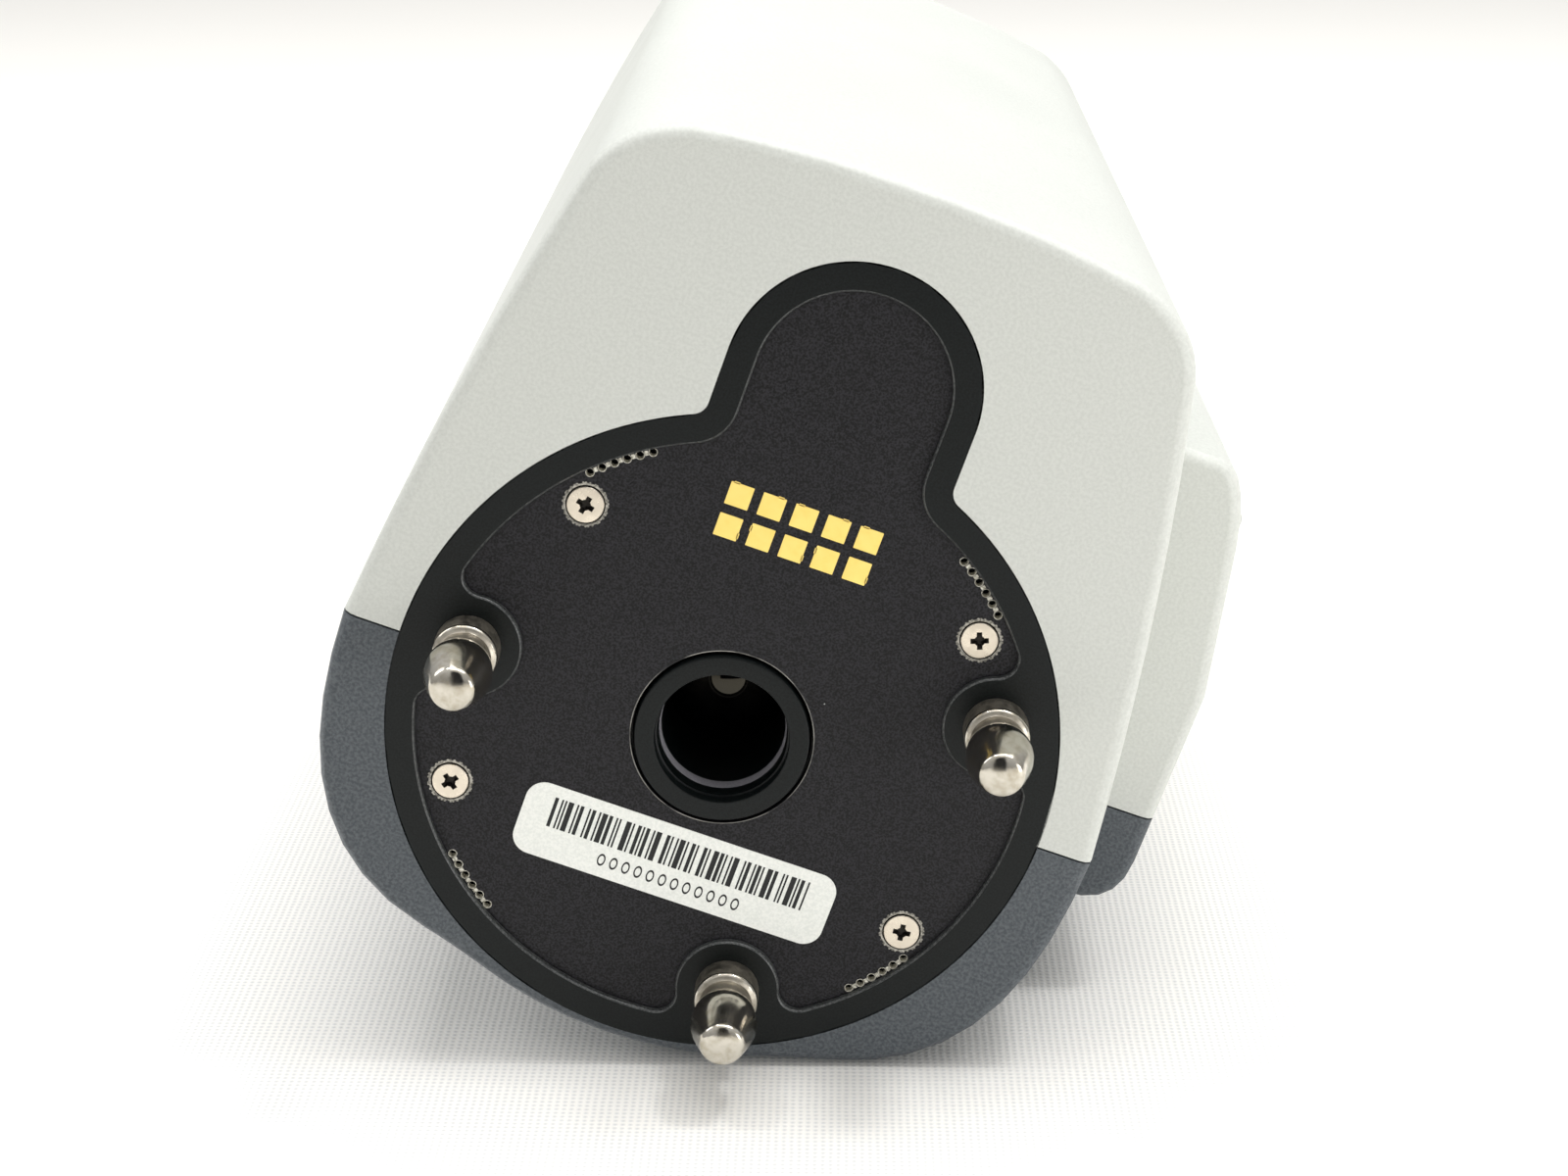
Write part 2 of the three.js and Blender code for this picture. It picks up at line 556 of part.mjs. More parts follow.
/** Outline of a grip ring or knob with evenly spaced flutes. */
function fluted(radius, depth, flutes) {
  const steps = flutes * 3;
  return Array.from({ length: steps }, (_, i) => {
    const angle = (2 * Math.PI * i) / steps;
    const r = radius - depth * (0.5 - 0.5 * Math.cos(flutes * angle));
    return [r * Math.cos(angle), r * Math.sin(angle)];
  });
}

function driveKnob(z) {
  const { radius, fluteDepth, flutes, near, far } = KNOB;
  const grip = prismAcross(fluted(radius, fluteDepth, flutes), 1 - far, -near);
  const cap = cylinder(KNOB.cap, -far, 2 - far, { axis: 'x', sides: 32 });
  const stem = cylinder(KNOB.stem, -near - 1, 2 - UPRIGHT.outer, { axis: 'x', sides: 24 });
  return joined(grip, cap, stem).translate([0, 0, z]);
}

function carryHandle() {
  const { halfSpan, grip, top, halfDepth, legWidth } = HANDLE;
  const bottom = UPRIGHT.top + GAP;
  const inner = halfSpan - legWidth;
  const outline = [
    [-halfSpan, bottom], [-inner, bottom],
    ...arc(8 - inner, grip - 8, 8, Math.PI, Math.PI / 2, 6),
    ...arc(inner - 8, grip - 8, 8, Math.PI / 2, 0, 6),
    [inner, bottom], [halfSpan, bottom],
    ...arc(halfSpan - 14, top - 14, 14, 0, Math.PI / 2, 8),
    ...arc(14 - halfSpan, top - 14, 14, Math.PI / 2, Math.PI, 8),
  ];
  return prismDeep(outline, -halfDepth, halfDepth);
}

// ---------------------------------------------------------------- telescope, about its own axle

function telescopeHousing() {
  const { halfWidth, halfHeight, front, back, corner } = TELESCOPE;
  const body = prismAcross(roundedRect(back, front, -halfHeight, halfHeight, corner),
    -halfWidth, halfWidth);
  const tube = cylinder(EYEPIECE.tube, EYEPIECE.tubeEnd, back + 2, { axis: 'y' });
  return cut(joined(body, tube), cylinder(OBJECTIVE.inner, 8, front + 2, { axis: 'y' }),
    cylinder(EYEPIECE.bore, EYEPIECE.tubeEnd - 1, 10, { axis: 'y' }));
}

const trunnionAxle = (side) => cylinder(AXLE.radius,
  side > 0 ? TELESCOPE.halfWidth + GAP : -AXLE.end,
  side > 0 ? AXLE.end : -TELESCOPE.halfWidth - GAP, { axis: 'x' });

const objectiveRing = () => turned([
  [OBJECTIVE.inner, TELESCOPE.front + GAP], [OBJECTIVE.outer, TELESCOPE.front + GAP],
  [OBJECTIVE.outer, OBJECTIVE.end - 1], [OBJECTIVE.outer - 1, OBJECTIVE.end],
  [OBJECTIVE.inner + 1, OBJECTIVE.end], [OBJECTIVE.inner, OBJECTIVE.end - 2],
], { axis: 'y' });

const objectiveLens = () => turned([
  [0, 36], [OBJECTIVE.inner - GAP, 36], [OBJECTIVE.inner - GAP, 38], [9, 39.6], [0, 40.2],
], { axis: 'y' });

function focusRing() {
  const grip = prismDeep(fluted(17, 0.9, 16), -34, TELESCOPE.back - GAP);
  return cut(grip, cylinder(EYEPIECE.tube + 0.4, -40, -20, { axis: 'y' }));
}

const diopterRing = () => turned([
  [EYEPIECE.bore, EYEPIECE.end], [EYEPIECE.ring - 1.5, EYEPIECE.end],
  [EYEPIECE.ring, EYEPIECE.end + 1.5], [EYEPIECE.ring, EYEPIECE.tubeEnd - GAP],
  [EYEPIECE.bore, EYEPIECE.tubeEnd - GAP],
], { axis: 'y', sides: 32 });

const opticalSight = () => prismDeep(
  roundedRect(-4.5, 4.5, TELESCOPE.halfHeight + GAP, 36, 2, 3), -13, 13);

// ---------------------------------------------------------------- assembly

const instrument = new THREE.Group();
const column = new THREE.Group();
const head = new THREE.Group();
const telescope = new THREE.Group();
telescope.position.z = TRUNNION_Z;
head.add(telescope);
instrument.add(column, head);

function add(group, name, solid, finish) {
  const mesh = new THREE.Mesh(toGeometry(solid), new THREE.MeshStandardMaterial(FINISH[finish]));
  mesh.name = name;
  group.add(mesh);
}

const blank = shellBlank();
add(column, 'rear_shell', rearShell(blank), 'white');
add(column, 'front_shell', frontShell(blank), 'slate');
add(column, 'deck_cover', deckCover(), 'white');
add(column, 'base_frame', baseFrame(), 'black');
add(column, 'contact_board', contactBoard(), 'board');
SCREW_CENTRES.forEach((centre, i) => add(column, `board_screw_${i + 1}`, boardScrew(centre),
  'nickel'));
PIN_CENTRES.forEach((centre, i) => add(column, `locating_pin_${i + 1}`, locatingPin(centre),
  'steel'));
add(column, 'serial_label', serialLabel(), 'label');
add(column, 'plummet_barrel', plummetBarrel(), 'black');
add(column, 'plummet_lens', plummetLens(), 'glass');
add(column, 'chassis', chassis(), 'aluminium');
add(column, 'axis_housing', axisHousing(), 'aluminium');
for (const [name, [low, high]] of Object.entries(BEARINGS)) {
  add(column, name, shaftRing(low, high), 'steel');
}
add(column, 'azimuth_stator', ring(MOTOR.stator, HOUSING.bore - 0.2, MOTOR.bottom, MOTOR.top),
  'copper');
add(column, 'azimuth_read_head', readHead(), 'black');
add(column, 'battery_pack', batteryPack(), 'black');
add(column, 'battery_door', batteryDoor(), 'white');
add(column, 'door_hinge_pin', hingePin(), 'steel');
add(column, 'door_release_button', releaseButton(), 'black');
add(column, 'panel_bezel', panelBezel(), 'black');
add(column, 'display_glass', displayGlass(), 'glass');
keys().forEach(([name, solid]) => add(column, name, solid, 'rubber'));
add(column, 'main_board', mainBoard(), 'board');
add(column, 'port_socket', portSocket(), 'steel');
add(column, 'port_cover', portCover(), 'rubber');
add(column, 'bubble_vial', bubbleVial(), 'glass');

add(head, 'azimuth_shaft', azimuthShaft(), 'steel');
add(head, 'azimuth_rotor', ring(SHAFT.radius + GAP, MOTOR.rotor, MOTOR.bottom, MOTOR.top), 'steel');
add(head, 'azimuth_encoder_disc', ring(SHAFT.radius + GAP, ENCODER.radius, ENCODER.bottom,
  ENCODER.bottom + ENCODER.thickness), 'glass');
add(head, 'turntable', turntable(), 'black');
for (const [label, side] of [['left', -1], ['right', 1]]) {
  add(head, `${label}_upright`, upright(side), 'white');
  add(head, `${label}_side_cover`, sideCover(side), 'slate');
  add(head, `${label}_trunnion_bearing`, trunnionBearing(side), 'steel');
  add(telescope, `${label}_trunnion_axle`, trunnionAxle(side), 'steel');
}
add(head, 'elevation_drive_knob', driveKnob(KNOB_HEIGHTS[0]), 'rubber');
add(head, 'azimuth_drive_knob', driveKnob(KNOB_HEIGHTS[1]), 'rubber');
add(head, 'carry_handle', carryHandle(), 'slate');

add(telescope, 'telescope_housing', telescopeHousing(), 'white');
add(telescope, 'objective_ring', objectiveRing(), 'black');
add(telescope, 'objective_lens', objectiveLens(), 'glass');
add(telescope, 'focus_ring', focusRing(), 'rubber');
add(telescope, 'diopter_ring', diopterRing(), 'rubber');
add(telescope, 'optical_sight', opticalSight(), 'black');

export default instrument;
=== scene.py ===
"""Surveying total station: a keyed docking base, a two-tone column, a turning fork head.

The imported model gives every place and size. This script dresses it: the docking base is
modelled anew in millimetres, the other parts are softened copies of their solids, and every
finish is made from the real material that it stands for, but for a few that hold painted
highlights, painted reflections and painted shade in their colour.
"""
import json
import logging
import math
from dataclasses import dataclass, field
from enum import Enum
from typing import Callable, Iterable, Sequence

import bmesh
import bpy
from bmesh.types import BMEdge, BMesh, BMVert
from bpy.types import Material, Node, NodeSocket, NodeTree, Object
from mathutils import Matrix, Vector


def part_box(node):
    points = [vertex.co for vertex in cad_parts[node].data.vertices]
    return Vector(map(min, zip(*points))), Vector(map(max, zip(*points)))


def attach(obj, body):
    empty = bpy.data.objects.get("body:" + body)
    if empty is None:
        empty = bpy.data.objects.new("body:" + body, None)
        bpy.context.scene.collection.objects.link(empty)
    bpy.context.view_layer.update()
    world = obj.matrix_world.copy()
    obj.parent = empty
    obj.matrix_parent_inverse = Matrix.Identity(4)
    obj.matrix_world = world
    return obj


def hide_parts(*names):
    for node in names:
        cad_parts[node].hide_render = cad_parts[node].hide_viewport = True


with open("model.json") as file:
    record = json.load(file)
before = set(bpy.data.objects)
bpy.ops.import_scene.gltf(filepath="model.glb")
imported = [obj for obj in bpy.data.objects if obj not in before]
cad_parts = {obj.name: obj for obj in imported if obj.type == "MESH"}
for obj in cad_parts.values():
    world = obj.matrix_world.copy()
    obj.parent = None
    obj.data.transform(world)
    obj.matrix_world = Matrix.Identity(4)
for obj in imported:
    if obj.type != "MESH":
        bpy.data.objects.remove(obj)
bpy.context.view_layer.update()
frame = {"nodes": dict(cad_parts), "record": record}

LOG = logging.getLogger("total_station")
MM = 0.001
TAU = 2 * math.pi
COLUMN_BODY = "column"
# A round part's facets meet at less than this; a real edge is sharper.
FACET_ANGLE = math.radians(32)
# Faces that meet at less than this are one flat face.
FLAT_ANGLE = math.radians(0.6)
# Points nearer to each other than this are one point.
WELD_MM = 2e-3


# --------------------------------------------------------------------------- materials


def linear(hex_colour: str) -> tuple[float, float, float, float]:
    """Turn an sRGB hex colour into linear light.

    Args:
        hex_colour: six hex digits.

    Returns:
        Red, green, blue and an alpha of one.
    """
    channels = [int(hex_colour[i:i + 2], 16) / 255 for i in (0, 2, 4)]
    lit = [c / 12.92 if c <= 0.04045 else ((c + 0.055) / 1.055) ** 2.4 for c in channels]
    return (lit[0], lit[1], lit[2], 1.0)


def add_node(tree: NodeTree, kind: str, links: dict | None = None,
             **settings: object) -> Node:
    """Add one node with its settings, socket values and incoming links.

    Args:
        tree: the node tree to add to.
        kind: the node's type name.
        links: input socket name or number to an output socket, or to a plain value.
        settings: attributes of the node itself.

    Returns:
        The new node.
    """
    node = tree.nodes.new(kind)
    for name, value in settings.items():
        setattr(node, name, value)
    for socket, source in (links or {}).items():
        if isinstance(source, NodeSocket):
            tree.links.new(source, node.inputs[socket])
        else:
            node.inputs[socket].default_value = source
    return node


def per_metre(size_mm: float) -> float:
    """Scale of a texture whose features are this many millimetres apart."""
    return 1000.0 / size_mm


def bands_per_metre(pitch_mm: float) -> float:
    """Scale of a wave texture whose bands are this many millimetres apart."""
    return math.pi / 10 / (pitch_mm * MM)


@dataclass(frozen=True)
class Finish:
    """A finish: what the shader's own sockets hold, before any pattern is added."""

    name: str
    colour: str
    roughness: float
    metallic: float = 0.0
    ior: float = 1.5
    specular: float = 0.5

    def make(self) -> Material:
        """Build the material.

        Returns:
            The finished material, with the finish's own pattern.
        """
        material = bpy.data.materials.new(self.name)
        material.use_nodes = True
        tree = material.node_tree
        shader = tree.nodes["Principled BSDF"]
        shader.inputs["Base Color"].default_value = linear(self.colour)
        shader.inputs["Roughness"].default_value = self.roughness
        shader.inputs["Metallic"].default_value = self.metallic
        shader.inputs["IOR"].default_value = self.ior
        shader.inputs["Specular IOR Level"].default_value = self.specular
        place = add_node(tree, "ShaderNodeTexCoord").outputs["Object"]
        self.pattern(tree, shader, place)
        return material

    def pattern(self, tree: NodeTree, shader: Node, place: NodeSocket) -> None:
        """Add the finish's pattern to its shader; the plain finish has a faint unevenness.

        Args:
            tree: the material's node tree.
            shader: its shader.
            place: where on the piece a point lies, in metres from the piece's origin.
        """
        wander = add_node(tree, "ShaderNodeTexNoise", {"Vector": place, "Scale": per_metre(2.0)})
        spread = add_node(tree, "ShaderNodeMapRange", {
            "Value": wander.outputs["Fac"], "To Min": self.roughness * 0.9,
            "To Max": min(1.0, self.roughness * 1.1)})
        tree.links.new(spread.outputs["Result"], shader.inputs["Roughness"])


def tint_by(tree: NodeTree, shader: Node, amount: NodeSocket,
            low: str, high: str) -> Node:
    """Drive a shader's colour between two hex colours.

    Args:
        tree: the material's tree.
        shader: the shader to colour.
        amount: 0 gives the low colour and 1 the high one.
        low: hex colour.
        high: hex colour.

    Returns:
        The mixing node.
    """
    mix = add_node(tree, "ShaderNodeMix", data_type="RGBA")
    colours = [s for s in mix.inputs if s.type == "RGBA"]
    colours[0].default_value = linear(low)
    colours[1].default_value = linear(high)
    tree.links.new(amount, mix.inputs[0])
    result = next(s for s in mix.outputs if s.type == "RGBA")
    tree.links.new(result, shader.inputs["Base Color"])
    return mix


@dataclass(frozen=True)
class MouldedPlastic(Finish):
    """ABS from a spark-eroded mould: an even satin skin of fine pebbles, faintly mottled."""

    # Real spark-eroded pebbles are about 0.15 mm apart; they are coarser here so as to show.
    grain_mm: float = 0.5
    grain_depth_mm: float = 0.02
    shade: str = ""

    def pattern(self, tree: NodeTree, shader: Node, place: NodeSocket) -> None:
        """Pebble the surface, with slightly darker pits and glossier crests.

        Args:
            tree: the material's node tree.
            shader: its shader.
            place: where on the piece a point lies, in metres from the piece's origin.
        """
        pebbles = add_node(tree, "ShaderNodeTexNoise", {
            "Vector": place, "Scale": per_metre(self.grain_mm), "Detail": 2.0,
            "Roughness": 0.55})
        bump = add_node(tree, "ShaderNodeBump", {
            "Height": pebbles.outputs["Fac"], "Strength": 0.5,
            "Distance": self.grain_depth_mm * MM})
        tree.links.new(bump.outputs["Normal"], shader.inputs["Normal"])
        pits = add_node(tree, "ShaderNodeMapRange", {
            "Value": pebbles.outputs["Fac"], "From Min": 0.38, "From Max": 0.62})
        tint_by(tree, shader, pits.outputs["Result"], self.shade or self.colour, self.colour)
        drift = add_node(tree, "ShaderNodeTexNoise", {
            "Vector": place, "Scale": per_metre(30.0), "Detail": 3.0})
        gloss = add_node(tree, "ShaderNodeMapRange", {
            "Value": drift.outputs["Fac"], "From Min": 0.3, "From Max": 0.7,
            "To Min": self.roughness - 0.05, "To Max": self.roughness + 0.06})
        tree.links.new(gloss.outputs["Result"], shader.inputs["Roughness"])


@dataclass(frozen=True)
class DustyBlack(Finish):
    """A black surface with a fine tooth, darker pits and a few specks of pale dust."""

    # The real tooth is under 0.1 mm; it is coarser here so as to show.
    tooth_mm: float = 0.32
    tooth_depth_mm: float = 0.02
    shade: str = "303336"
    speck_every_mm: float = 9.0
    speck_mm: float = 0.22

    def pattern(self, tree: NodeTree, shader: Node, place: NodeSocket) -> None:
        """Give the surface its tooth, its darker pits and its dust.

        Args:
            tree: the material's node tree.
            shader: its shader.
            place: where on the piece a point lies, in metres from the piece's origin.
        """
        tooth = add_node(tree, "ShaderNodeTexNoise", {
            "Vector": place, "Scale": per_metre(self.tooth_mm), "Detail": 2.0})
        bump = add_node(tree, "ShaderNodeBump", {
            "Height": tooth.outputs["Fac"], "Strength": 0.55,
            "Distance": self.tooth_depth_mm * MM})
        tree.links.new(bump.outputs["Normal"], shader.inputs["Normal"])
        pits = add_node(tree, "ShaderNodeMapRange", {
            "Value": tooth.outputs["Fac"], "From Min": 0.4, "From Max": 0.6})
        mix = tint_by(tree, shader, pits.outputs["Result"], self.colour, self.shade)
        cells = add_node(tree, "ShaderNodeTexVoronoi", {
            "Vector": place, "Scale": per_metre(self.speck_every_mm), "Randomness": 1.0})
        speck = add_node(tree, "ShaderNodeMath", {
            0: cells.outputs["Distance"],
            1: self.speck_mm / 2 / self.speck_every_mm}, operation="LESS_THAN")
        dust = add_node(tree, "ShaderNodeMix", data_type="RGBA")
        colours = [s for s in dust.inputs if s.type == "RGBA"]
        tree.links.new(next(s for s in mix.outputs if s.type == "RGBA"), colours[0])
        colours[1].default_value = linear("A9ABAA")
        tree.links.new(speck.outputs["Value"], dust.inputs[0])
        tree.links.new(next(s for s in dust.outputs if s.type == "RGBA"),
                       shader.inputs["Base Color"])


@dataclass(frozen=True)
class TurnedMetal(Finish):
    """Metal turned on a lathe about an upright axis: fine tool marks run round it."""

    # Real tool marks are about 0.05 mm apart; they are coarser here so as to show.
    pitch_mm: float = 0.16
    depth_mm: float = 0.0016
    stain: str = ""
    cloud_mm: float = 1.6

    def pattern(self, tree: NodeTree, shader: Node, place: NodeSocket) -> None:
        """Run the tool marks round the axis and cloud the polish a little.

        Args:
            tree: the material's node tree.
            shader: its shader.
            place: where on the piece a point lies, in metres from the piece's origin.
        """
        marks = add_node(tree, "ShaderNodeTexWave", {
            "Vector": place, "Scale": bands_per_metre(self.pitch_mm), "Distortion": 1.2,
            "Detail": 3.0, "Detail Scale": 4.0}, wave_type="BANDS", bands_direction="Z")
        bump = add_node(tree, "ShaderNodeBump", {
            "Height": marks.outputs["Fac"], "Strength": 0.5, "Distance": self.depth_mm * MM})
        tree.links.new(bump.outputs["Normal"], shader.inputs["Normal"])
        cloud = add_node(tree, "ShaderNodeTexNoise", {
            "Vector": place, "Scale": per_metre(self.cloud_mm), "Detail": 4.0})
        gloss = add_node(tree, "ShaderNodeMapRange", {
            "Value": cloud.outputs["Fac"], "From Min": 0.35, "From Max": 0.65,
            "To Min": self.roughness * 0.75, "To Max": self.roughness * 1.3})
        tree.links.new(gloss.outputs["Result"], shader.inputs["Roughness"])
        if self.stain:
            steps = add_node(tree, "ShaderNodeMapRange", {
                "Value": cloud.outputs["Fac"], "From Min": 0.4, "From Max": 0.75})
            tint_by(tree, shader, steps.outputs["Result"], self.colour, self.stain)


@dataclass(frozen=True)
class PrintedFilm(Finish):
    """Matt film or cut laminate: slightly uneven in tone, with a paper-fine tooth."""

    # Real fibres are about 0.02 mm thick; they are coarser here so as to show.
    shade: str = "E2E4DE"
    fibre_mm: float = 0.4

    def pattern(self, tree: NodeTree, shader: Node, place: NodeSocket) -> None:
        """Give the film its tooth and a slight unevenness.

        Args:
            tree: the material's node tree.
            shader: its shader.
            place: where on the piece a point lies, in metres from the piece's origin.
        """
        fibres = add_node(tree, "ShaderNodeTexNoise", {
            "Vector": place, "Scale": per_metre(self.fibre_mm), "Detail": 4.0})
        bump = add_node(tree, "ShaderNodeBump", {
            "Height": fibres.outputs["Fac"], "Strength": 0.15, "Distance": 0.01 * MM})
        tree.links.new(bump.outputs["Normal"], shader.inputs["Normal"])
        steps = add_node(tree, "ShaderNodeMapRange", {
            "Value": fibres.outputs["Fac"], "From Min": 0.38, "From Max": 0.62})
        tint_by(tree, shader, steps.outputs["Result"], self.shade, self.colour)


@dataclass(frozen=True)
class CoatedGlass(Finish):
    """Optical glass with an anti-reflection coating, seen against a blackened tube."""

    film_nm: float = 420.0

    def pattern(self, tree: NodeTree, shader: Node, place: NodeSocket) -> None:
        """Coat the glass; faint smears break its reflection.

        Args:
            tree: the material's node tree.
            shader: its shader.
            place: where on the piece a point lies, in metres from the piece's origin.
        """
        shader.inputs["Thin Film Thickness"].default_value = self.film_nm
        shader.inputs["Thin Film IOR"].default_value = 1.38
        smear = add_node(tree, "ShaderNodeTexNoise", {
            "Vector": place, "Scale": per_metre(6.0), "Detail": 2.0})
        gloss = add_node(tree, "ShaderNodeMapRange", {
            "Value": smear.outputs["Fac"], "To Min": 0.02, "To Max": self.roughness})
        tree.links.new(gloss.outputs["Result"], shader.inputs["Roughness"])


@dataclass(frozen=True)
class WovenCloth(Finish):
    """White polyester table cloth in plain weave, dazzling where the light falls on it."""

    # Ribs of doubled yarn, a little over a millimetre apart.
    thread_mm: float = 1.15

    def pattern(self, tree: NodeTree, shader: Node, place: NodeSocket) -> None:
        """Weave warp over weft; seen from behind, the cloth lets light straight through.

        Args:
            tree: the material's node tree.
            shader: its shader.
            place: where on the piece a point lies, in metres from the piece's origin.
        """
        waves = [add_node(tree, "ShaderNodeTexWave", {
            "Vector": place, "Scale": bands_per_metre(self.thread_mm), "Distortion": 0.6,
            "Detail": 2.0}, wave_type="BANDS", bands_direction=way) for way in ("X", "Y")]
        weave = add_node(tree, "ShaderNodeMath", {
            0: waves[0].outputs["Fac"], 1: waves[1].outputs["Fac"]}, operation="MULTIPLY")
        away = add_node(tree, "ShaderNodeVectorMath", {0: place}, operation="LENGTH")
        clear = add_node(tree, "ShaderNodeMapRange", {
            "Value": away.outputs["Value"], "From Min": 0.12, "From Max": 0.3,
            "To Min": 1.0, "To Max": 0.0})
        seen = add_node(tree, "ShaderNodeMath", {
            0: weave.outputs["Value"], 1: clear.outputs["Result"]}, operation="MULTIPLY")
        bump = add_node(tree, "ShaderNodeBump", {
            "Height": seen.outputs["Value"], "Strength": 0.5, "Distance": 0.18 * MM})
        tree.links.new(bump.outputs["Normal"], shader.inputs["Normal"])
        tint_by(tree, shader, seen.outputs["Value"], self.colour, "D9D9D8")
        one_sided(tree, shader)


def one_sided(tree: NodeTree, shader: Node) -> None:
    """Let a stage surface be seen from its front only.

    Args:
        tree: the material's node tree.
        shader: its shader.
    """
    back = add_node(tree, "ShaderNodeNewGeometry").outputs["Backfacing"]
    clear = add_node(tree, "ShaderNodeBsdfTransparent")
    choose = add_node(tree, "ShaderNodeMixShader", {
        0: back, 1: shader.outputs["BSDF"], 2: clear.outputs["BSDF"]})
    tree.links.new(choose.outputs["Shader"],
                   tree.nodes["Material Output"].inputs["Surface"])


@dataclass(frozen=True)
class StagePaint(Finish):
    """Plain matt paint on a surface of the stage, seen from its front only."""

    def pattern(self, tree: NodeTree, shader: Node, place: NodeSocket) -> None:
        """Keep the paint plain and one-sided."""
        one_sided(tree, shader)


class Stock(Enum):
    """The finishes that the instrument is made in."""

    # Pale grey-white ABS from a spark-eroded mould: an even satin skin that never glints.
    WHITE_SHELL = MouldedPlastic("white_abs_shell", "CACCC6", 0.5, shade="C2C4BE")
    # Slate ABS from the same kind of mould; the dark colour shows its pebbles more.
    SLATE_SHELL = MouldedPlastic("slate_abs_shell", "565B5F", 0.55, shade="40454A",
                                 specular=0.4)
    # Moulded black ABS: a soft, even sheen on the bezel and the sight.
    BLACK_ABS = MouldedPlastic("black_abs", "202223", 0.5, shade="17191A", grain_mm=0.4)
    # Moulded silicone rubber: nearly matt, so that knobs and covers look soft.
    RUBBER = MouldedPlastic("soft_touch_rubber", "2A2C2E", 0.82, shade="1E2021",
                            grain_mm=0.35, grain_depth_mm=0.03)
    # Cast aluminium, blasted and black anodised: deep black with a low, slightly cold gloss.
    ANODISED_BLACK = DustyBlack("black_anodised_casting", "070A0A", 0.36, shade="0F1414",
                                specular=0.22)
    # Screen-printed matt black solder mask on glass epoxy: a fine tooth that greys the light.
    SOLDER_MASK = DustyBlack("black_solder_mask", "070708", 0.48, shade="262529",
                             tooth_mm=0.32, tooth_depth_mm=0.06, specular=0.25)
    # Stainless steel, turned and polished: sharp reflections with faint clouding.
    STEEL = TurnedMetal("turned_steel", "C8C3B8", 0.16, metallic=1.0, stain="A79F8E")
    # The same steel left as brushed, in the groove and the collar: blurred light, and a darker
    # colour that is painted shade and a painted dark reflection of the black base.
    DARK_STEEL = TurnedMetal("brushed_steel_painted_dark", "B4ADA0", 0.42, metallic=1.0, stain="7C766A")
    # Nickel plating on a pressed screw head: warm, soft and bright.
    NICKEL = TurnedMetal("nickel_plated_steel", "D8CEBE", 0.32, metallic=1.0, pitch_mm=0.12)
    # Painted shade in a driver recess: almost black, with a dull metal glint.
    RECESS = TurnedMetal("painted_recess_shade", "2A2621", 0.5, metallic=0.6, cloud_mm=0.4)
    # Dip-tinned copper land: mottled, bright where the tin is thick and dark where it is not.
    TINNED_COPPER = TurnedMetal("tinned_copper", "A9A69E", 0.42, metallic=1.0,
                                stain="3A3832", cloud_mm=0.35)
    # Gold plated on nickel and copper: a flat, pale yellow gleam.
    GOLD = TurnedMetal("gold_plated_copper", "FFE283", 0.5, metallic=0.7, pitch_mm=0.4,
                       depth_mm=0.0008)
    # Glass epoxy where a drill broke through the mask: dry, whitish, fibrous.
    LAMINATE = PrintedFilm("cut_glass_epoxy", "E6E3D6", 0.7, shade="A39F90")
    # A board edge round the middle hole: pale stretches of painted highlight where light catches
    # it, with dark ones between at random.
    WORN_EDGE = PrintedFilm("painted_hole_edge_highlight", "95938C", 0.6, shade="1B1B1C", fibre_mm=4.0)
    # Painted highlight on the recess chamfer: a narrow grey line painted where the edge catches
    # the light.
    RUBBED_EDGE = DustyBlack("painted_chamfer_highlight", "4C4E4D", 0.3, shade="242626",
                             specular=0.5)
    # Satin grey acetal ring that holds the lens: a quiet crescent inside the dark tube.
    RETAINER = MouldedPlastic("satin_lens_retainer", "98969B", 0.6, shade="8B898F",
                              grain_mm=0.3)
    # White polyester label, thermally printed: clean and matt.
    LABEL = PrintedFilm("white_label_film", "EFF0EA", 0.55, shade="E3E5DF")
    # Resin ribbon ink: flat black.
    INK = Finish("black_print", "141414", 0.6)
    # Pale grey ink pad-printed on rubber keys: matt, a little uneven.
    PALE_PRINT = PrintedFilm("pale_key_print", "D5D8DA", 0.6, shade="B9BDC0")
    # Reflective liquid crystal display, switched off: an even grey-green.
    LCD = PrintedFilm("reflective_lcd", "93A095", 0.35, shade="8B988D", fibre_mm=0.6)
    # Moulded silicone keycap, greyer than the panel so that it stands out.
    KEYCAP = MouldedPlastic("silicone_keycap", "4B5054", 0.7, shade="3F4448", grain_mm=0.3)
    # Polished optical glass, coated, over a blackened tube: black but for a dim reflection.
    LENS = CoatedGlass("coated_lens", "030405", 0.05, ior=1.3, film_nm=120.0)
    # Hard-coated window of black-tinted polycarbonate: dark and glossy.
    DISPLAY = CoatedGlass("display_window", "0A0D10", 0.08, film_nm=0.0)
    # Ground glass vial filled with yellow-green spirit: bright and wet-looking.
    VIAL = CoatedGlass("level_vial", "9DB43A", 0.06, film_nm=0.0)
    # Milled aluminium: silver, with visible tool marks.
    ALLOY = TurnedMetal("milled_aluminium", "C2C4C6", 0.35, metallic=1.0, pitch_mm=0.4)
    # Wound enamelled copper wire: brown-red ridges.
    COPPER = TurnedMetal("copper_winding", "B87346", 0.4, metallic=1.0, pitch_mm=0.5,
                         depth_mm=0.06)


class FinishShelf:
    """Makes each finish once and hands out its material."""

    def __init__(self) -> None:
        """Start with nothing made."""
        self._made: dict[Stock, Material] = {}

    def take(self, stock: Stock) -> Material:
        """Take a finish's material off the shelf, making it the first time.

        Args:
            stock: the finish.

        Returns:
            Its material.
        """
        if stock not in self._made:
            self._made[stock] = stock.value.make()
        return self._made[stock]


SHELF = FinishShelf()


# --------------------------------------------------------------------------- mesh work


@dataclass(frozen=True)
class Arc:
    """One round stretch of an outline, in millimetres; straight stretches join the arcs."""

    x: float
    y: float
    radius: float
    start: float
    sweep: float
    steps: int


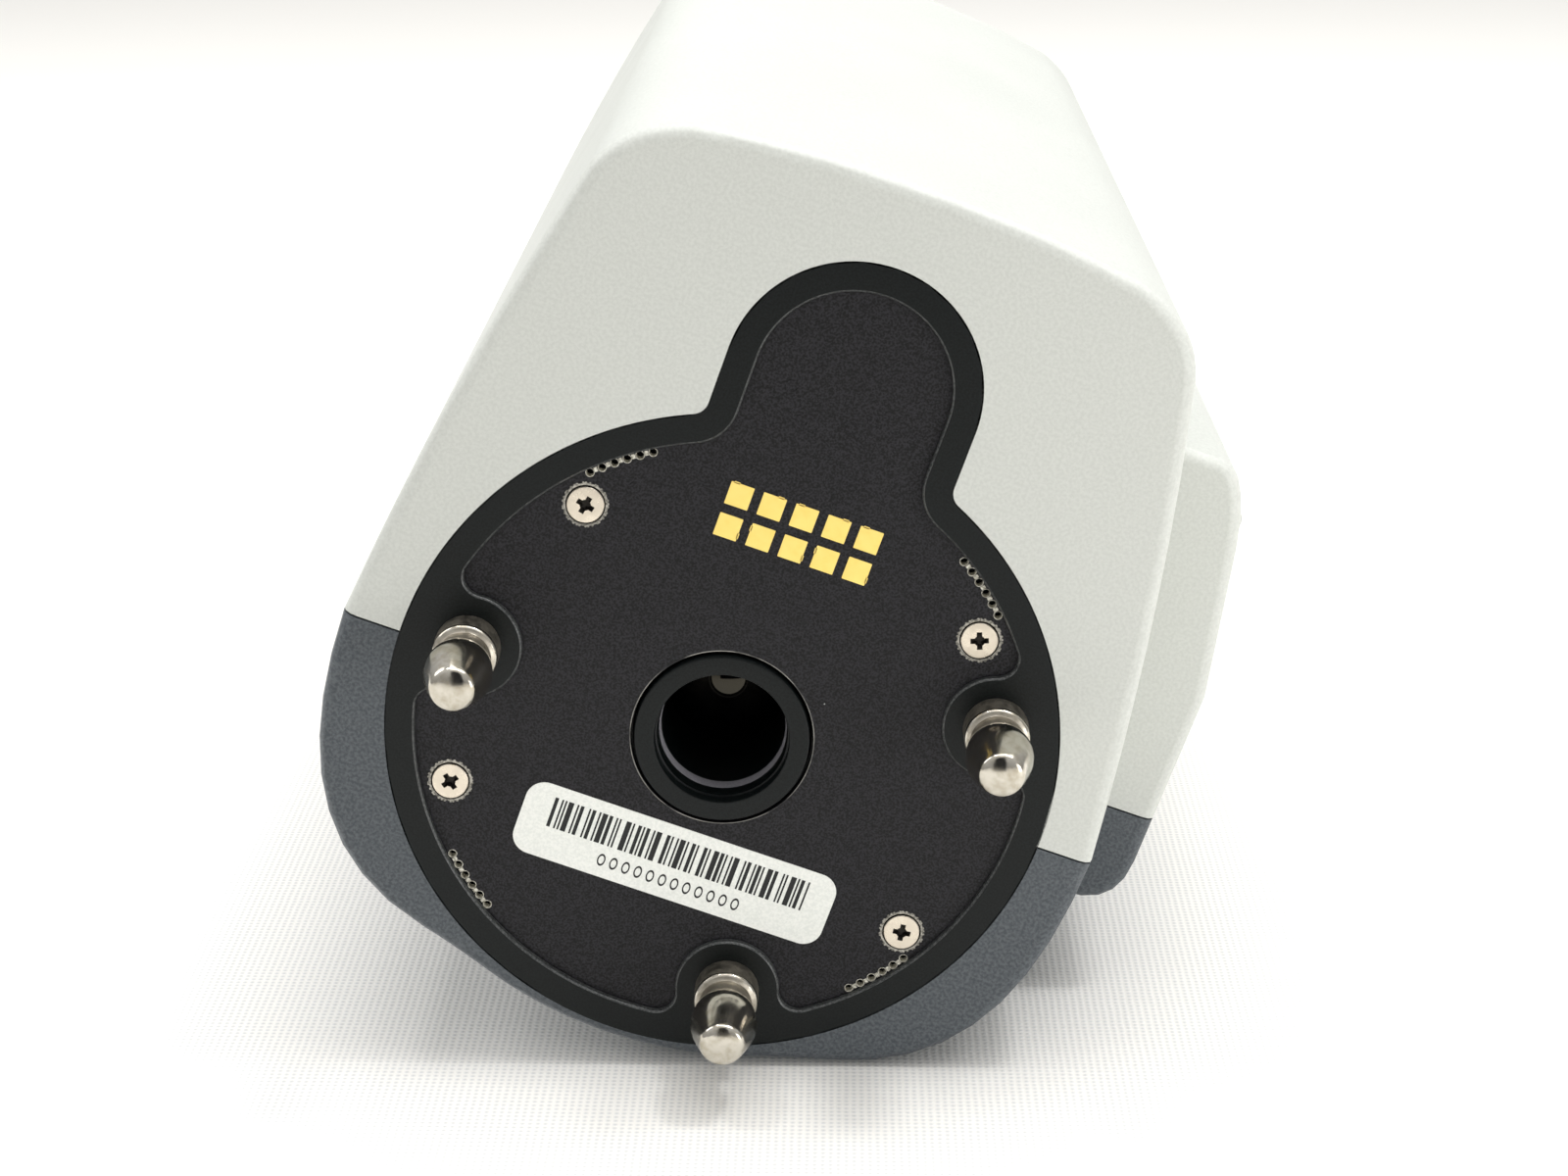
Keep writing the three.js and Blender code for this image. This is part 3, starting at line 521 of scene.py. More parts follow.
@dataclass(frozen=True)
class Outline:
    """A closed outline of arcs, run anticlockwise, which can be grown outwards."""

    arcs: tuple[Arc, ...]

    def trace(self, bm: BMesh, grow: float, z: float) -> list[BMEdge]:
        """Draw the outline as a closed loop of edges.

        Args:
            bm: the mesh to draw in.
            grow: how far the outline is moved outwards, in millimetres.
            z: its height.

        Returns:
            The loop's edges.
        """
        known = set(bm.edges)
        ends = []
        for arc in self.arcs:
            radius = arc.radius + math.copysign(grow, arc.sweep)
            at = (arc.x + radius * math.cos(arc.start), arc.y + radius * math.sin(arc.start), z)
            first = bmesh.ops.create_vert(bm, co=at)["vert"][0]
            spun = bmesh.ops.spin(bm, geom=[first], cent=(arc.x, arc.y, z), axis=(0, 0, 1),
                                  angle=arc.sweep, steps=arc.steps)
            last = next(g for g in spun["geom_last"] if isinstance(g, BMVert))
            ends.append((first, last))
        for (_, last), (first, _) in zip(ends, ends[1:] + ends[:1]):
            if (last.co - first.co).length > 1e-3:
                bm.edges.new((last, first))
            else:
                bmesh.ops.pointmerge(bm, verts=[last, first], merge_co=first.co)
        return [e for e in bm.edges if e not in known]


def slab(bm: BMesh, centre: Sequence[float], size: Sequence[float],
         turn: float = 0.0) -> list[BMVert]:
    """Lay a thin box.

    Args:
        bm: the mesh to add it to.
        centre: its middle.
        size: its length along each axis.
        turn: its angle about the upright, in radians.

    Returns:
        The box's corners.
    """
    place = Matrix.Translation(centre) @ Matrix.Rotation(turn, 4, "Z")
    return bmesh.ops.create_cube(bm, size=1.0, matrix=place @ Matrix.Diagonal(
        (*size, 1)))["verts"]


def round_plan(bm: BMesh, verts: Iterable[BMVert], radius: float, segments: int) -> None:
    """Round a slab's four upright edges."""
    upright = [e for e in {e for v in verts for e in v.link_edges}
               if (e.verts[0].co - e.verts[1].co).to_2d().length < WELD_MM]
    bmesh.ops.bevel(bm, geom=upright, offset=radius, offset_type="OFFSET", affect="EDGES",
                    segments=segments, profile=0.5, material=-1, clamp_overlap=True)


def circle(bm: BMesh, radius: float, z: float, x: float = 0.0, y: float = 0.0,
           steps: int = 96) -> list[BMEdge]:
    """Draw a circle.

    Args:
        bm: the mesh to draw in.
        radius: its radius, in millimetres.
        z: its height.
        x: its centre, across.
        y: its centre, along.
        steps: how many edges it has.

    Returns:
        Its edges.
    """
    made = bmesh.ops.create_circle(bm, cap_ends=False, radius=radius, segments=steps,
                                   matrix=Matrix.Translation((x, y, z)))
    return list({e for v in made["verts"] for e in v.link_edges})


def loft(bm: BMesh, loops: Sequence[list[BMEdge]]) -> None:
    """Skin a wall through loops that hold the same number of edges."""
    for near, far in zip(loops, loops[1:]):
        bmesh.ops.bridge_loops(bm, edges=near + far)


def fill(bm: BMesh, *loops: list[BMEdge]) -> None:
    """Fill the flat region between an outer loop and any loops inside it."""
    edges = [e for loop in loops for e in loop]
    bmesh.ops.triangle_fill(bm, use_beauty=True, use_dissolve=False, edges=edges)


def lathe(bm: BMesh, profile: Sequence[tuple[float, float]],
          centre: Sequence[float] = (0.0, 0.0, 0.0), steps: int = 96) -> None:
    """Turn a profile of (radius, height) points about an upright axis, and weld the seam.

    Args:
        bm: the mesh to turn in.
        profile: the points, in millimetres.
        centre: the foot of the axis.
        steps: how many steps a full turn takes.
    """
    up = Vector((0, 0, 1))
    out = up.orthogonal().normalized()
    verts = [bmesh.ops.create_vert(bm, co=Vector(centre) + out * r + up * h)["vert"][0]
             for r, h in profile]
    edges = [bm.edges.new(pair) for pair in zip(verts, verts[1:])]
    bmesh.ops.spin(bm, geom=verts + edges, cent=centre, axis=up, angle=TAU, steps=steps,
                   use_merge=True)
    bmesh.ops.remove_doubles(bm, verts=bm.verts, dist=1e-3)


def soften(bm: BMesh, width: float, segments: int) -> None:
    """Bevel every edge that is sharper than the faceting of a round part.

    Args:
        bm: the mesh.
        width: bevel width in the mesh's own units.
        segments: how many faces round the edge.
    """
    sharp = [e for e in bm.edges if len(e.link_faces) == 2
             and e.calc_face_angle(0.0) > FACET_ANGLE]
    if sharp:
        bmesh.ops.bevel(bm, geom=sharp, offset=width, offset_type="OFFSET",
                        affect="EDGES", segments=segments, profile=0.5, material=-1,
                        clamp_overlap=True)


def bench(name: str, stock: Stock, bm: BMesh, stands_for: Sequence[str] = (),
          body: str = COLUMN_BODY, crease: float = 40.0) -> Object:
    """Turn a shaped mesh into a finished piece of the instrument.

    Args:
        name: the piece's name.
        stock: the finish it is made in.
        bm: the mesh, shaped in millimetres.
        stands_for: solids that this piece replaces.
        body: the moving body that it rides on.
        crease: angle in degrees past which an edge is shaded sharp.

    Returns:
        The piece.
    """
    bmesh.ops.recalc_face_normals(bm, faces=bm.faces)
    bmesh.ops.scale(bm, vec=(MM, MM, MM), verts=bm.verts)
    mesh = bpy.data.meshes.new(name)
    bm.to_mesh(mesh)
    bm.free()
    mesh.shade_smooth()
    mesh.set_sharp_from_angle(angle=math.radians(crease))
    piece = bpy.data.objects.new(name, mesh)
    bpy.context.scene.collection.objects.link(piece)
    even = piece.modifiers.new("even_shading", "WEIGHTED_NORMAL")
    even.keep_sharp = True
    mesh.materials.append(SHELF.take(stock))
    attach(piece, body)
    if stands_for:
        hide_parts(*stands_for)
    LOG.info("%s: %d faces in %s", name, len(mesh.polygons), stock.value.name)
    return piece


@dataclass(frozen=True)
class Softened:
    """A solid that keeps its shape and gets rounded edges and a finish."""

    node: str
    stock: Stock
    edge_mm: float = 0.4
    segments: int = 2

    def build(self) -> Object:
        """Copy the solid, weld it, round its edges and put it in its place.

        Returns:
            The softened piece, which stands for the solid.
        """
        source = frame["nodes"][self.node]
        bm = bmesh.new()
        bm.from_mesh(source.data)
        bmesh.ops.scale(bm, vec=(1 / MM, 1 / MM, 1 / MM), verts=bm.verts)
        bmesh.ops.remove_doubles(bm, verts=bm.verts, dist=WELD_MM)
        bmesh.ops.dissolve_limit(bm, angle_limit=FLAT_ANGLE, verts=bm.verts, edges=bm.edges)
        soften(bm, self.edge_mm, self.segments)
        return bench(f"{self.node}_shell", self.stock, bm, [self.node],
                     body_of(self.node))


@dataclass
class Assembly:
    """A sub-assembly of softened solids."""

    parts: tuple[Softened, ...] = ()

    def build(self) -> None:
        """Make the sub-assembly's pieces."""
        for part in self.parts:
            part.build()


def body_of(node: str) -> str:
    """Name of the body that a node belongs to."""
    bodies = frame["record"]["behaviour"]["bodies"]
    return next(body for body, members in bodies.items() if node in members)


# --------------------------------------------------------------------------- docking base


@dataclass
class DockingBase:
    """Keyhole-shaped base: black rim, contact board, steel pins, screws and label."""

    radius: float = 50.0
    half_tongue: float = 18.4
    tongue_y: float = 57.2
    fillet: float = 3.0
    rim_width: float = 4.0
    rim_top: float = 10.0
    floor: float = 3.1
    lobe_radius: float = 8.0
    lobe_fillet: float = 3.0
    board_face: float = 1.2
    board_back: float = 2.8
    board_hole: float = 13.7
    screw_hole: float = 2.95
    pads: tuple[int, int] = (5, 2)
    pad_pitch: float = 5.0
    pad_side: float = 3.55
    pad_centre: tuple[float, float] = (0.0, 34.0)
    screw_turns: tuple[float, ...] = (12.0, -22.0, 38.0, -8.0)
    perforation: float = 0.62
    perforation_pitch: float = 1.95
    perforations_each: int = 6
    perforation_inset: float = 0.42
    perforated_at: tuple[float, ...] = (51.9, 128.6, 219.1, 309.3)
    pins: list[Vector] = field(default_factory=lambda: node_centres("locating_pin", 3))
    screws: list[Vector] = field(default_factory=lambda: node_centres("board_screw", 4))

    def build(self) -> None:
        """Make every piece of the base."""
        self.build_rim()
        self.build_board()
        self.build_pads()
        self.build_perforations()
        self.build_hole_edge_highlight()
        self.build_vias()
        for number, centre in enumerate(self.screws, 1):
            self.build_screw(number, centre)
        for number, centre in enumerate(self.pins, 1):
            self.build_pin(number, centre)

    def _tongue_arcs(self, grow: float) -> tuple[list[Arc], float]:
        """Arcs of the tongue, and how far its fillets lean from the axis.

        Args:
            grow: offset of the outline that the arcs are for.

        Returns:
            The arcs from the right fillet to the left one, and the lean in radians.
        """
        x = self.half_tongue + self.fillet
        y = math.sqrt((self.radius + self.fillet) ** 2 - x ** 2)
        lean = math.atan2(y, x)
        fillet = self.fillet - grow
        return [Arc(x, y, fillet, lean + math.pi, -lean, 14),
                Arc(0, self.tongue_y, self.half_tongue + grow, 0, math.pi, 48),
                Arc(-x, y, fillet, 0, -lean, 14)], lean

    def rim_outline(self) -> Outline:
        """Outline of the rim's outer edge."""
        tongue, lean = self._tongue_arcs(0)
        return Outline((Arc(0, 0, self.radius, math.pi - lean, math.pi + 2 * lean, 160),
                        *tongue))

    def recess_outline(self) -> Outline:
        """Outline of the recess in the rim, which bends round each pin's lobe.

        Returns:
            The outline, anticlockwise from the tongue's left side.
        """
        tongue, lean = self._tongue_arcs(-self.rim_width)
        rim = self.radius - self.rim_width
        reach = rim - self.lobe_fillet
        arcs: list[Arc] = []
        angle = math.pi - lean
        for pin in sorted(self.pins, key=lambda p: math.atan2(p.y, p.x) % TAU
                          + (TAU if math.atan2(p.y, p.x) % TAU < angle else 0)):
            along = math.atan2(pin.y, pin.x) % TAU
            along += TAU if along < angle else 0
            spread = math.acos((pin.length ** 2 + reach ** 2
                                - (self.lobe_radius + self.lobe_fillet) ** 2)
                               / (2 * pin.length * reach))
            near = Vector((reach * math.cos(along - spread), reach * math.sin(along - spread)))
            far = Vector((reach * math.cos(along + spread), reach * math.sin(along + spread)))
            to_near = math.atan2(near.y - pin.y, near.x - pin.x)
            to_far = math.atan2(far.y - pin.y, far.x - pin.x)
            arcs.append(Arc(0, 0, rim, angle, along - spread - angle,
                            max(4, round((along - spread - angle) * 26))))
            arcs.append(Arc(near.x, near.y, self.lobe_fillet, along - spread,
                            (to_near + math.pi - along + spread) % TAU, 12))
            arcs.append(Arc(pin.x, pin.y, self.lobe_radius, to_near,
                            -((to_near - to_far) % TAU), 32))
            arcs.append(Arc(far.x, far.y, self.lobe_fillet, to_far + math.pi,
                            (along + spread - to_far - math.pi) % TAU, 12))
            angle = along + spread
        arcs.append(Arc(0, 0, rim, angle, TAU + lean - angle, 24))
        return Outline((*arcs, *tongue))

    def build_rim(self) -> None:
        """Model the rim: rounded outer edge, flat face, chamfered recess and its floor."""
        bm = bmesh.new()
        outer, recess = self.rim_outline(), self.recess_outline()
        outside = [outer.trace(bm, grow, z) for grow, z in (
            (0, self.rim_top), (0, 0.55), (-0.06, 0.3), (-0.2, 0.12), (-0.45, 0))]
        inside = [recess.trace(bm, grow, z) for grow, z in (
            (0.38, 0), (0.3, 0.03), (0.05, 0.3), (0, 0.38), (0, self.floor))]
        hole = [circle(bm, self.board_hole - 0.2, z) for z in (self.floor, self.rim_top)]
        loft(bm, outside)
        loft(bm, inside[:2])
        # The recess chamfer takes the rim's second material, a painted highlight.
        known = set(bm.faces)
        loft(bm, inside[1:3])
        for face in set(bm.faces) - known:
            face.material_index = 1
        loft(bm, inside[2:])
        loft(bm, hole)
        fill(bm, outside[-1], inside[0])
        fill(bm, inside[-1], hole[0])
        fill(bm, outside[0], hole[1])
        rim = bench("base_rim", Stock.ANODISED_BLACK, bm, ["base_frame"])
        # Second material: the painted highlight on the recess chamfer.
        rim.data.materials.append(SHELF.take(Stock.RUBBED_EDGE))

    def build_board(self) -> None:
        """Model the contact board, with clearance holes for its screws and the plummet."""
        bm = bmesh.new()
        outline = self.recess_outline()
        walls = []
        for grow, z in ((-0.3, self.board_face), (-0.3, self.board_back)):
            loops = [outline.trace(bm, grow, z), circle(bm, self.board_hole, z)]
            loops += [circle(bm, self.screw_hole, z, c.x, c.y, 40) for c in self.screws]
            loops += [circle(bm, self.perforation, z, c.x, c.y, 20)
                      for c in self.perforation_centres()]
            walls.append(loops)
            fill(bm, *loops)
        for face, back in zip(*walls):
            loft(bm, [face, back])
        bench("contact_board_plate", Stock.SOLDER_MASK, bm, ["contact_board"])

    def build_pads(self) -> None:
        """Model the gold contact pads, each with the nibs where its tracks leave it."""
        bm = bmesh.new()
        columns, rows = self.pads
        thick = 0.07
        for column in range(columns):
            for row in range(rows):
                x = self.pad_centre[0] + (column - (columns - 1) / 2) * self.pad_pitch
                y = self.pad_centre[1] + (row - (rows - 1) / 2) * self.pad_pitch
                self._plate(bm, x, y, self.pad_side, self.pad_side, thick)
                side = 1 if (column + row) % 2 else -1
                nib = 0.9
                if row:
                    self._plate(bm, x + side * nib, y + self.pad_side / 2, nib, 0.3, thick)
                else:
                    self._plate(bm, x + side * self.pad_side / 2, y + nib * side, 0.3, nib,
                                thick)
        bench("contact_pads", Stock.GOLD, bm)

    def _plate(self, bm: BMesh, x: float, y: float, width: float, depth: float,
               thick: float) -> None:
        """Lay a thin plate with soft corners on the board's face."""
        corners = slab(bm, (x, y, self.board_face - thick / 2), (width, depth, thick))
        round_plan(bm, corners, min(0.12, width / 4, depth / 4), 3)

    def perforation_centres(self) -> list[Vector]:
        """Centres of the drilled holes where the board was snapped from its panel.

        Returns:
            The centres, in plan, row by row.
        """
        reach = self.radius - self.rim_width - 0.3 - self.perforation_inset
        step = self.perforation_pitch / reach
        half = (self.perforations_each - 1) / 2
        angles = [math.radians(middle) + (number - half) * step
                  for middle in self.perforated_at for number in range(self.perforations_each)]
        return [Vector((math.cos(a), math.sin(a))) * reach for a in angles]

    def build_perforations(self) -> None:
        """Model the bare laminate that shows round the drilled holes and between them."""
        bm = bmesh.new()
        centres = self.perforation_centres()
        face = self.board_face
        for centre in centres:
            hole = self.perforation
            lathe(bm, [(hole - 0.02, self.board_back - 0.05), (hole - 0.02, face - 0.03),
                       (hole + 0.04, face - 0.03), (hole + 0.07, face + 0.01)],
                  (centre.x, centre.y, 0), steps=20)
        for near, far in zip(centres, centres[1:]):
            if (far - near).length < 1.5 * self.perforation_pitch:
                middle = (near + far) / 2 * 1.002
                along = math.atan2((far - near).y, (far - near).x)
                slab(bm, (middle.x, middle.y, face - 0.02), (0.5, 0.72, 0.05), along)
        bench("edge_perforations", Stock.LAMINATE, bm)

    def build_hole_edge_highlight(self) -> None:
        """Model the edge round the board's middle hole, painted pale in stretches as a painted
        highlight.
        """
        bm = bmesh.new()
        face = self.board_face
        lathe(bm, [(self.board_hole + 0.01, self.board_back), (self.board_hole + 0.01, face),
                   (self.board_hole + 0.04, face - 0.03), (self.board_hole + 0.13, face - 0.03),
                   (self.board_hole + 0.16, face + 0.01)], steps=128)
        bench("board_hole_edge", Stock.WORN_EDGE, bm)

    def build_vias(self) -> None:
        """Model the low rings of the masked plated holes on the board."""
        bm = bmesh.new()
        spots = [(8.3, 54.6), (6.9, 52.6), (5.3, 50.2), (3.6, 49.8), (-1.3, 54.0),
                 (-4.4, 53.4), (-1.9, 51.5), (-4.2, 50.3), (24.6, 32.5), (-3.6, 41.1)]
        for x, y in spots:
            lathe(bm, [(0.98, self.board_face - 0.002), (0.93, self.board_face - 0.05),
                       (0.8, self.board_face - 0.05), (0.75, self.board_face - 0.002)],
                  (x, y, 0), steps=28)
        bench("via_rings", Stock.SOLDER_MASK, bm)

    def build_screw(self, number: int, centre: Vector) -> None:
        """Model a cross-recessed countersunk screw and the tinned land round it.

        Args:
            number: which screw.
            centre: its centre, in plan.
        """
        head, arm, arm_width, depth = 2.75, 1.4, 0.84, 1.0
        face = self.board_face - 0.35
        bm = bmesh.new()
        lathe(bm, [(0, face + 2.2), (1.4, face + 2.2), (1.5, face + 1.7), (head, face + 0.35),
                   (head, face + 0.1), (head - 0.1, face), (1.9, face - 0.03),
                   (0, face - 0.03)], (centre.x, centre.y, 0), steps=64)
        screw = bench(f"board_screw_{number}_head", Stock.NICKEL, bm,
                      [f"board_screw_{number}"])
        turn = Matrix.Translation((centre.x, centre.y, face)) @ Matrix.Rotation(
            math.radians(self.screw_turns[number - 1]), 4, "Z")
        cross = bmesh.new()
        for quarter in (0, math.pi / 2):
            made = bmesh.ops.create_cube(cross, size=1.0, matrix=turn @ Matrix.Rotation(
                quarter, 4, "Z") @ Matrix.Translation((0, 0, depth / 2 - 0.1))
                @ Matrix.Diagonal((2 * arm, arm_width, depth, 1)))
            bottom = [v for v in made["verts"] if v.co.z > face + depth / 2]
            bmesh.ops.scale(cross, vec=(0.55, 0.55, 1), verts=bottom,
                            space=Matrix.Translation((-centre.x, -centre.y, 0)))
        bmesh.ops.create_cone(cross, cap_ends=True, segments=24, radius1=0.85, radius2=0.5,
                              depth=depth, matrix=turn @ Matrix.Translation(
                                  (0, 0, depth / 2 - 0.1)))
        self._carve(screw, cross)
        land = bmesh.new()
        inner, outer, face = self.screw_hole, self.screw_hole + 0.36, self.board_face
        lathe(land, [(inner, face + 0.3), (inner, face - 0.04), (inner + 0.06, face - 0.07),
                     (outer - 0.06, face - 0.07), (outer, face - 0.01)],
              (centre.x, centre.y, 0), steps=56)
        scallops = 34
        for step in range(scallops):
            angle = TAU * (step + 0.3 * math.sin(2.3 * step)) / scallops
            bmesh.ops.create_cone(
                land, cap_ends=True, segments=10, radius1=0.19, radius2=0.13, depth=0.06,
                matrix=Matrix.Translation((centre.x + outer * math.cos(angle),
                                           centre.y + outer * math.sin(angle), face - 0.03)))
        bench(f"screw_land_{number}", Stock.TINNED_COPPER, land)

    def _carve(self, piece: Object, tool_bm: BMesh) -> None:
        """Cut a tool's shape out of a piece, give the cut painted shade, and drop the tool.

        Args:
            piece: the piece to cut.
            tool_bm: the tool's shape, in millimetres.
        """
        bmesh.ops.scale(tool_bm, vec=(MM, MM, MM), verts=tool_bm.verts)
        tool_mesh = bpy.data.meshes.new("carving_tool")
        for face in tool_bm.faces:
            face.material_index = 1
        tool_bm.to_mesh(tool_mesh)
        tool_bm.free()
        # The cut's faces take painted shade, an almost black colour.
        piece.data.materials.append(SHELF.take(Stock.RECESS))
        tool = bpy.data.objects.new("carving_tool", tool_mesh)
        bpy.context.scene.collection.objects.link(tool)
        cut = piece.modifiers.new("carve", "BOOLEAN")
        cut.operation, cut.solver, cut.object, cut.use_self = "DIFFERENCE", "EXACT", tool, True
        with bpy.context.temp_override(object=piece, active_object=piece):
            bpy.ops.object.modifier_move_to_index(modifier=cut.name, index=0)
            bpy.ops.object.modifier_apply(modifier=cut.name)
        bpy.data.objects.remove(tool)
        bpy.data.meshes.remove(tool_mesh)

    def build_pin(self, number: int, centre: Vector) -> None:
        """Turn a locating pin: ground barrel and nose, and a collar and groove with painted shade
        and a painted dark reflection.

        Args:
            number: which pin.
            centre: its centre, in plan.
        """
        bm = bmesh.new()
        lathe(bm, [(0, -19.5), (0.8, -19.46), (1.6, -19.34), (2.3, -19.16), (2.8, -18.98),
                   (3.12, -18.76), (3.32, -18.4), (3.5, -17.9), (3.95, -16.4),
                   (4.4, -14.9), (4.75, -13.6), (4.95, -12.5), (5.0, -11.7), (4.95, -10.9),
                   (4.78, -9.9), (4.5, -8.9), (4.2, -8.0), (4.0, -7.55), (3.9, -7.45),
                   (0, -7.45)],
              (centre.x, centre.y, 0), steps=96)
        bench(f"locating_pin_{number}_nose", Stock.STEEL, bm,
              [f"locating_pin_{number}"], crease=50)
        root = bmesh.new()
        lathe(root, [(0, -7.5), (3.95, -7.5), (3.95, -5.2), (4.05, -5.05), (4.55, -4.8)],
              (centre.x, centre.y, 0), steps=96)
        lathe(root, [(4.88, -4.1), (4.9, -3.9), (4.9, 0.4), (0, 0.4)],
              (centre.x, centre.y, 0), steps=96)
        # The collar and groove are painted darker: painted shade and a painted reflection of the
        # black base.
        bench(f"locating_pin_{number}_root", Stock.DARK_STEEL, root, crease=50)
        lip = bmesh.new()
        lathe(lip, [(4.5, -4.8), (4.72, -4.62), (4.86, -4.4), (4.9, -4.1), (4.8, -3.9)],
              (centre.x, centre.y, 0), steps=96)
        bench(f"locating_pin_{number}_lip", Stock.STEEL, lip, crease=50)


def node_centres(stem: str, count: int) -> list[Vector]:
    """Find solids that are numbered from one.

    Args:
        stem: the solids' name without its number.
        count: how many there are.

    Returns:
        Their centres in plan, in millimetres.
    """
    centres = []
    for number in range(1, count + 1):
        low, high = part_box(f"{stem}_{number}")
        centres.append(((low + high) / 2 / MM).to_2d())
    return centres


@dataclass
class SerialLabel:
    """White label with a bar pattern and generic figures, which name nothing."""

    length: float = 49.5
    width: float = 12.0
    centre_y: float = -21.7
    corner: float = 3.0
    face: float = 1.2
    thick: float = 0.14

    def build(self) -> None:
        """Make the film and what is printed on it."""
        bm = bmesh.new()
        corners = slab(bm, (0, self.centre_y, self.face - 0.02 - self.thick / 2),
                       (self.length, self.width, self.thick))
        round_plan(bm, corners, self.corner, 12)
        bench("serial_label_film", Stock.LABEL, bm, ["serial_label"])
        self.build_print()

    def build_print(self) -> None:
        """Print even bars of three widths in a repeating order, and zeros below them."""
        bm = bmesh.new()
        level = self.face - self.thick - 0.035
        bar_height, bar_y = 4.9, self.centre_y + 1.7
        unit, x = 0.27, -20.4
        widths = (1, 2, 1, 3, 1, 1, 2, 3, 1, 2)
        gaps = (2, 1, 1, 2, 1, 3, 1)
        number = 0
        while x < 20.2:
            wide = widths[number % len(widths)] * unit
            slab(bm, (x + wide / 2, bar_y, level), (wide, bar_height, 0.02))
            x += wide + gaps[number % len(gaps)] * unit
            number += 1
        for digit in range(12):
            middle = Vector(((digit - 5.5) * 1.95, self.centre_y - 3.2, level))
            known = set(bm.verts)
            lathe(bm, [(0.62, 0), (0.62, -0.01), (0.42, -0.01), (0.42, 0)], steps=20)
            zero = [v for v in bm.verts if v not in known]
            bmesh.ops.scale(bm, vec=(1, 1.65, 1), verts=zero)
            bmesh.ops.translate(bm, vec=middle, verts=zero)
        bench("serial_label_print", Stock.INK, bm)


@dataclass
class Plummet:
    """Downward-looking window: a stepped black tube with a coated lens in it."""

    outer: float = 13.2
    mouth: float = 10.1
    bore: float = 9.45
    face: float = 0.6
    step: float = 2.8
    lens_depth: float = 24.7
    top: float = 40.0
    lens: float = 9.4
    crown: float = 2.9

    def build(self) -> None:
        """Turn the tube and its lens."""
        bm = bmesh.new()
        lathe(bm, [(self.outer, self.top), (self.outer, self.face + 0.45),
                   (self.outer - 0.15, self.face + 0.13), (self.outer - 0.45, self.face),
                   (self.mouth + 0.3, self.face), (self.mouth + 0.08, self.face + 0.08),
                   (self.mouth, self.face + 0.3), (self.mouth, self.step - 0.1),
                   (self.mouth - 0.25, self.step), (self.bore, self.step + 4.5),
                   (self.bore, self.top),
                   (self.outer, self.top)], steps=128)
        bench("plummet_tube", Stock.ANODISED_BLACK, bm, ["plummet_barrel"])
        retainer = bmesh.new()
        lathe(retainer, [(self.bore + 0.17, self.step + 2.3), (self.bore + 0.13, self.step + 2.4),
                         (self.bore - 0.03, self.step + 4.4), (self.bore, self.step + 4.5)],
              steps=128)
        bench("plummet_retainer", Stock.RETAINER, retainer)
        glass = bmesh.new()
        crown, deep = self.crown, self.lens_depth
        curve = [(self.lens * t / 16, deep - crown * (1 - (t / 16) ** 2)) for t in range(17)]
        lathe(glass, [*curve, (self.lens, deep + 0.5), (0, deep + 0.5)], steps=96)
        bench("plummet_lens_glass", Stock.LENS, glass, ["plummet_lens"])


# --------------------------------------------------------------------------- other parts


@dataclass
class Column(Assembly):
    """The fixed column: shells, battery side, deck and control panel."""

    parts: tuple[Softened, ...] = (
        Softened("rear_shell", Stock.WHITE_SHELL, 0.5, 3),
        Softened("front_shell", Stock.SLATE_SHELL, 0.5, 3),
        Softened("deck_cover", Stock.WHITE_SHELL, 0.8, 3),
        Softened("battery_door", Stock.WHITE_SHELL, 0.35),
        Softened("door_release_button", Stock.RUBBER, 0.5, 3),
        Softened("door_hinge_pin", Stock.STEEL, 0.2),
        Softened("battery_pack", Stock.BLACK_ABS, 0.8),
        Softened("panel_bezel", Stock.BLACK_ABS, 0.5, 3),
        Softened("display_glass", Stock.DISPLAY, 0.25),
        Softened("function_key_1", Stock.KEYCAP, 0.45, 3),
        Softened("function_key_2", Stock.KEYCAP, 0.45, 3),
        Softened("function_key_3", Stock.KEYCAP, 0.45, 3),
        Softened("nav_pad", Stock.KEYCAP, 0.7, 3),
        Softened("power_key", Stock.KEYCAP, 0.5, 3),
        Softened("enter_key", Stock.KEYCAP, 0.5, 3),
        Softened("port_cover", Stock.RUBBER, 0.4, 3),
        Softened("port_socket", Stock.STEEL, 0.15),
        Softened("bubble_vial", Stock.VIAL, 0.3),
    )


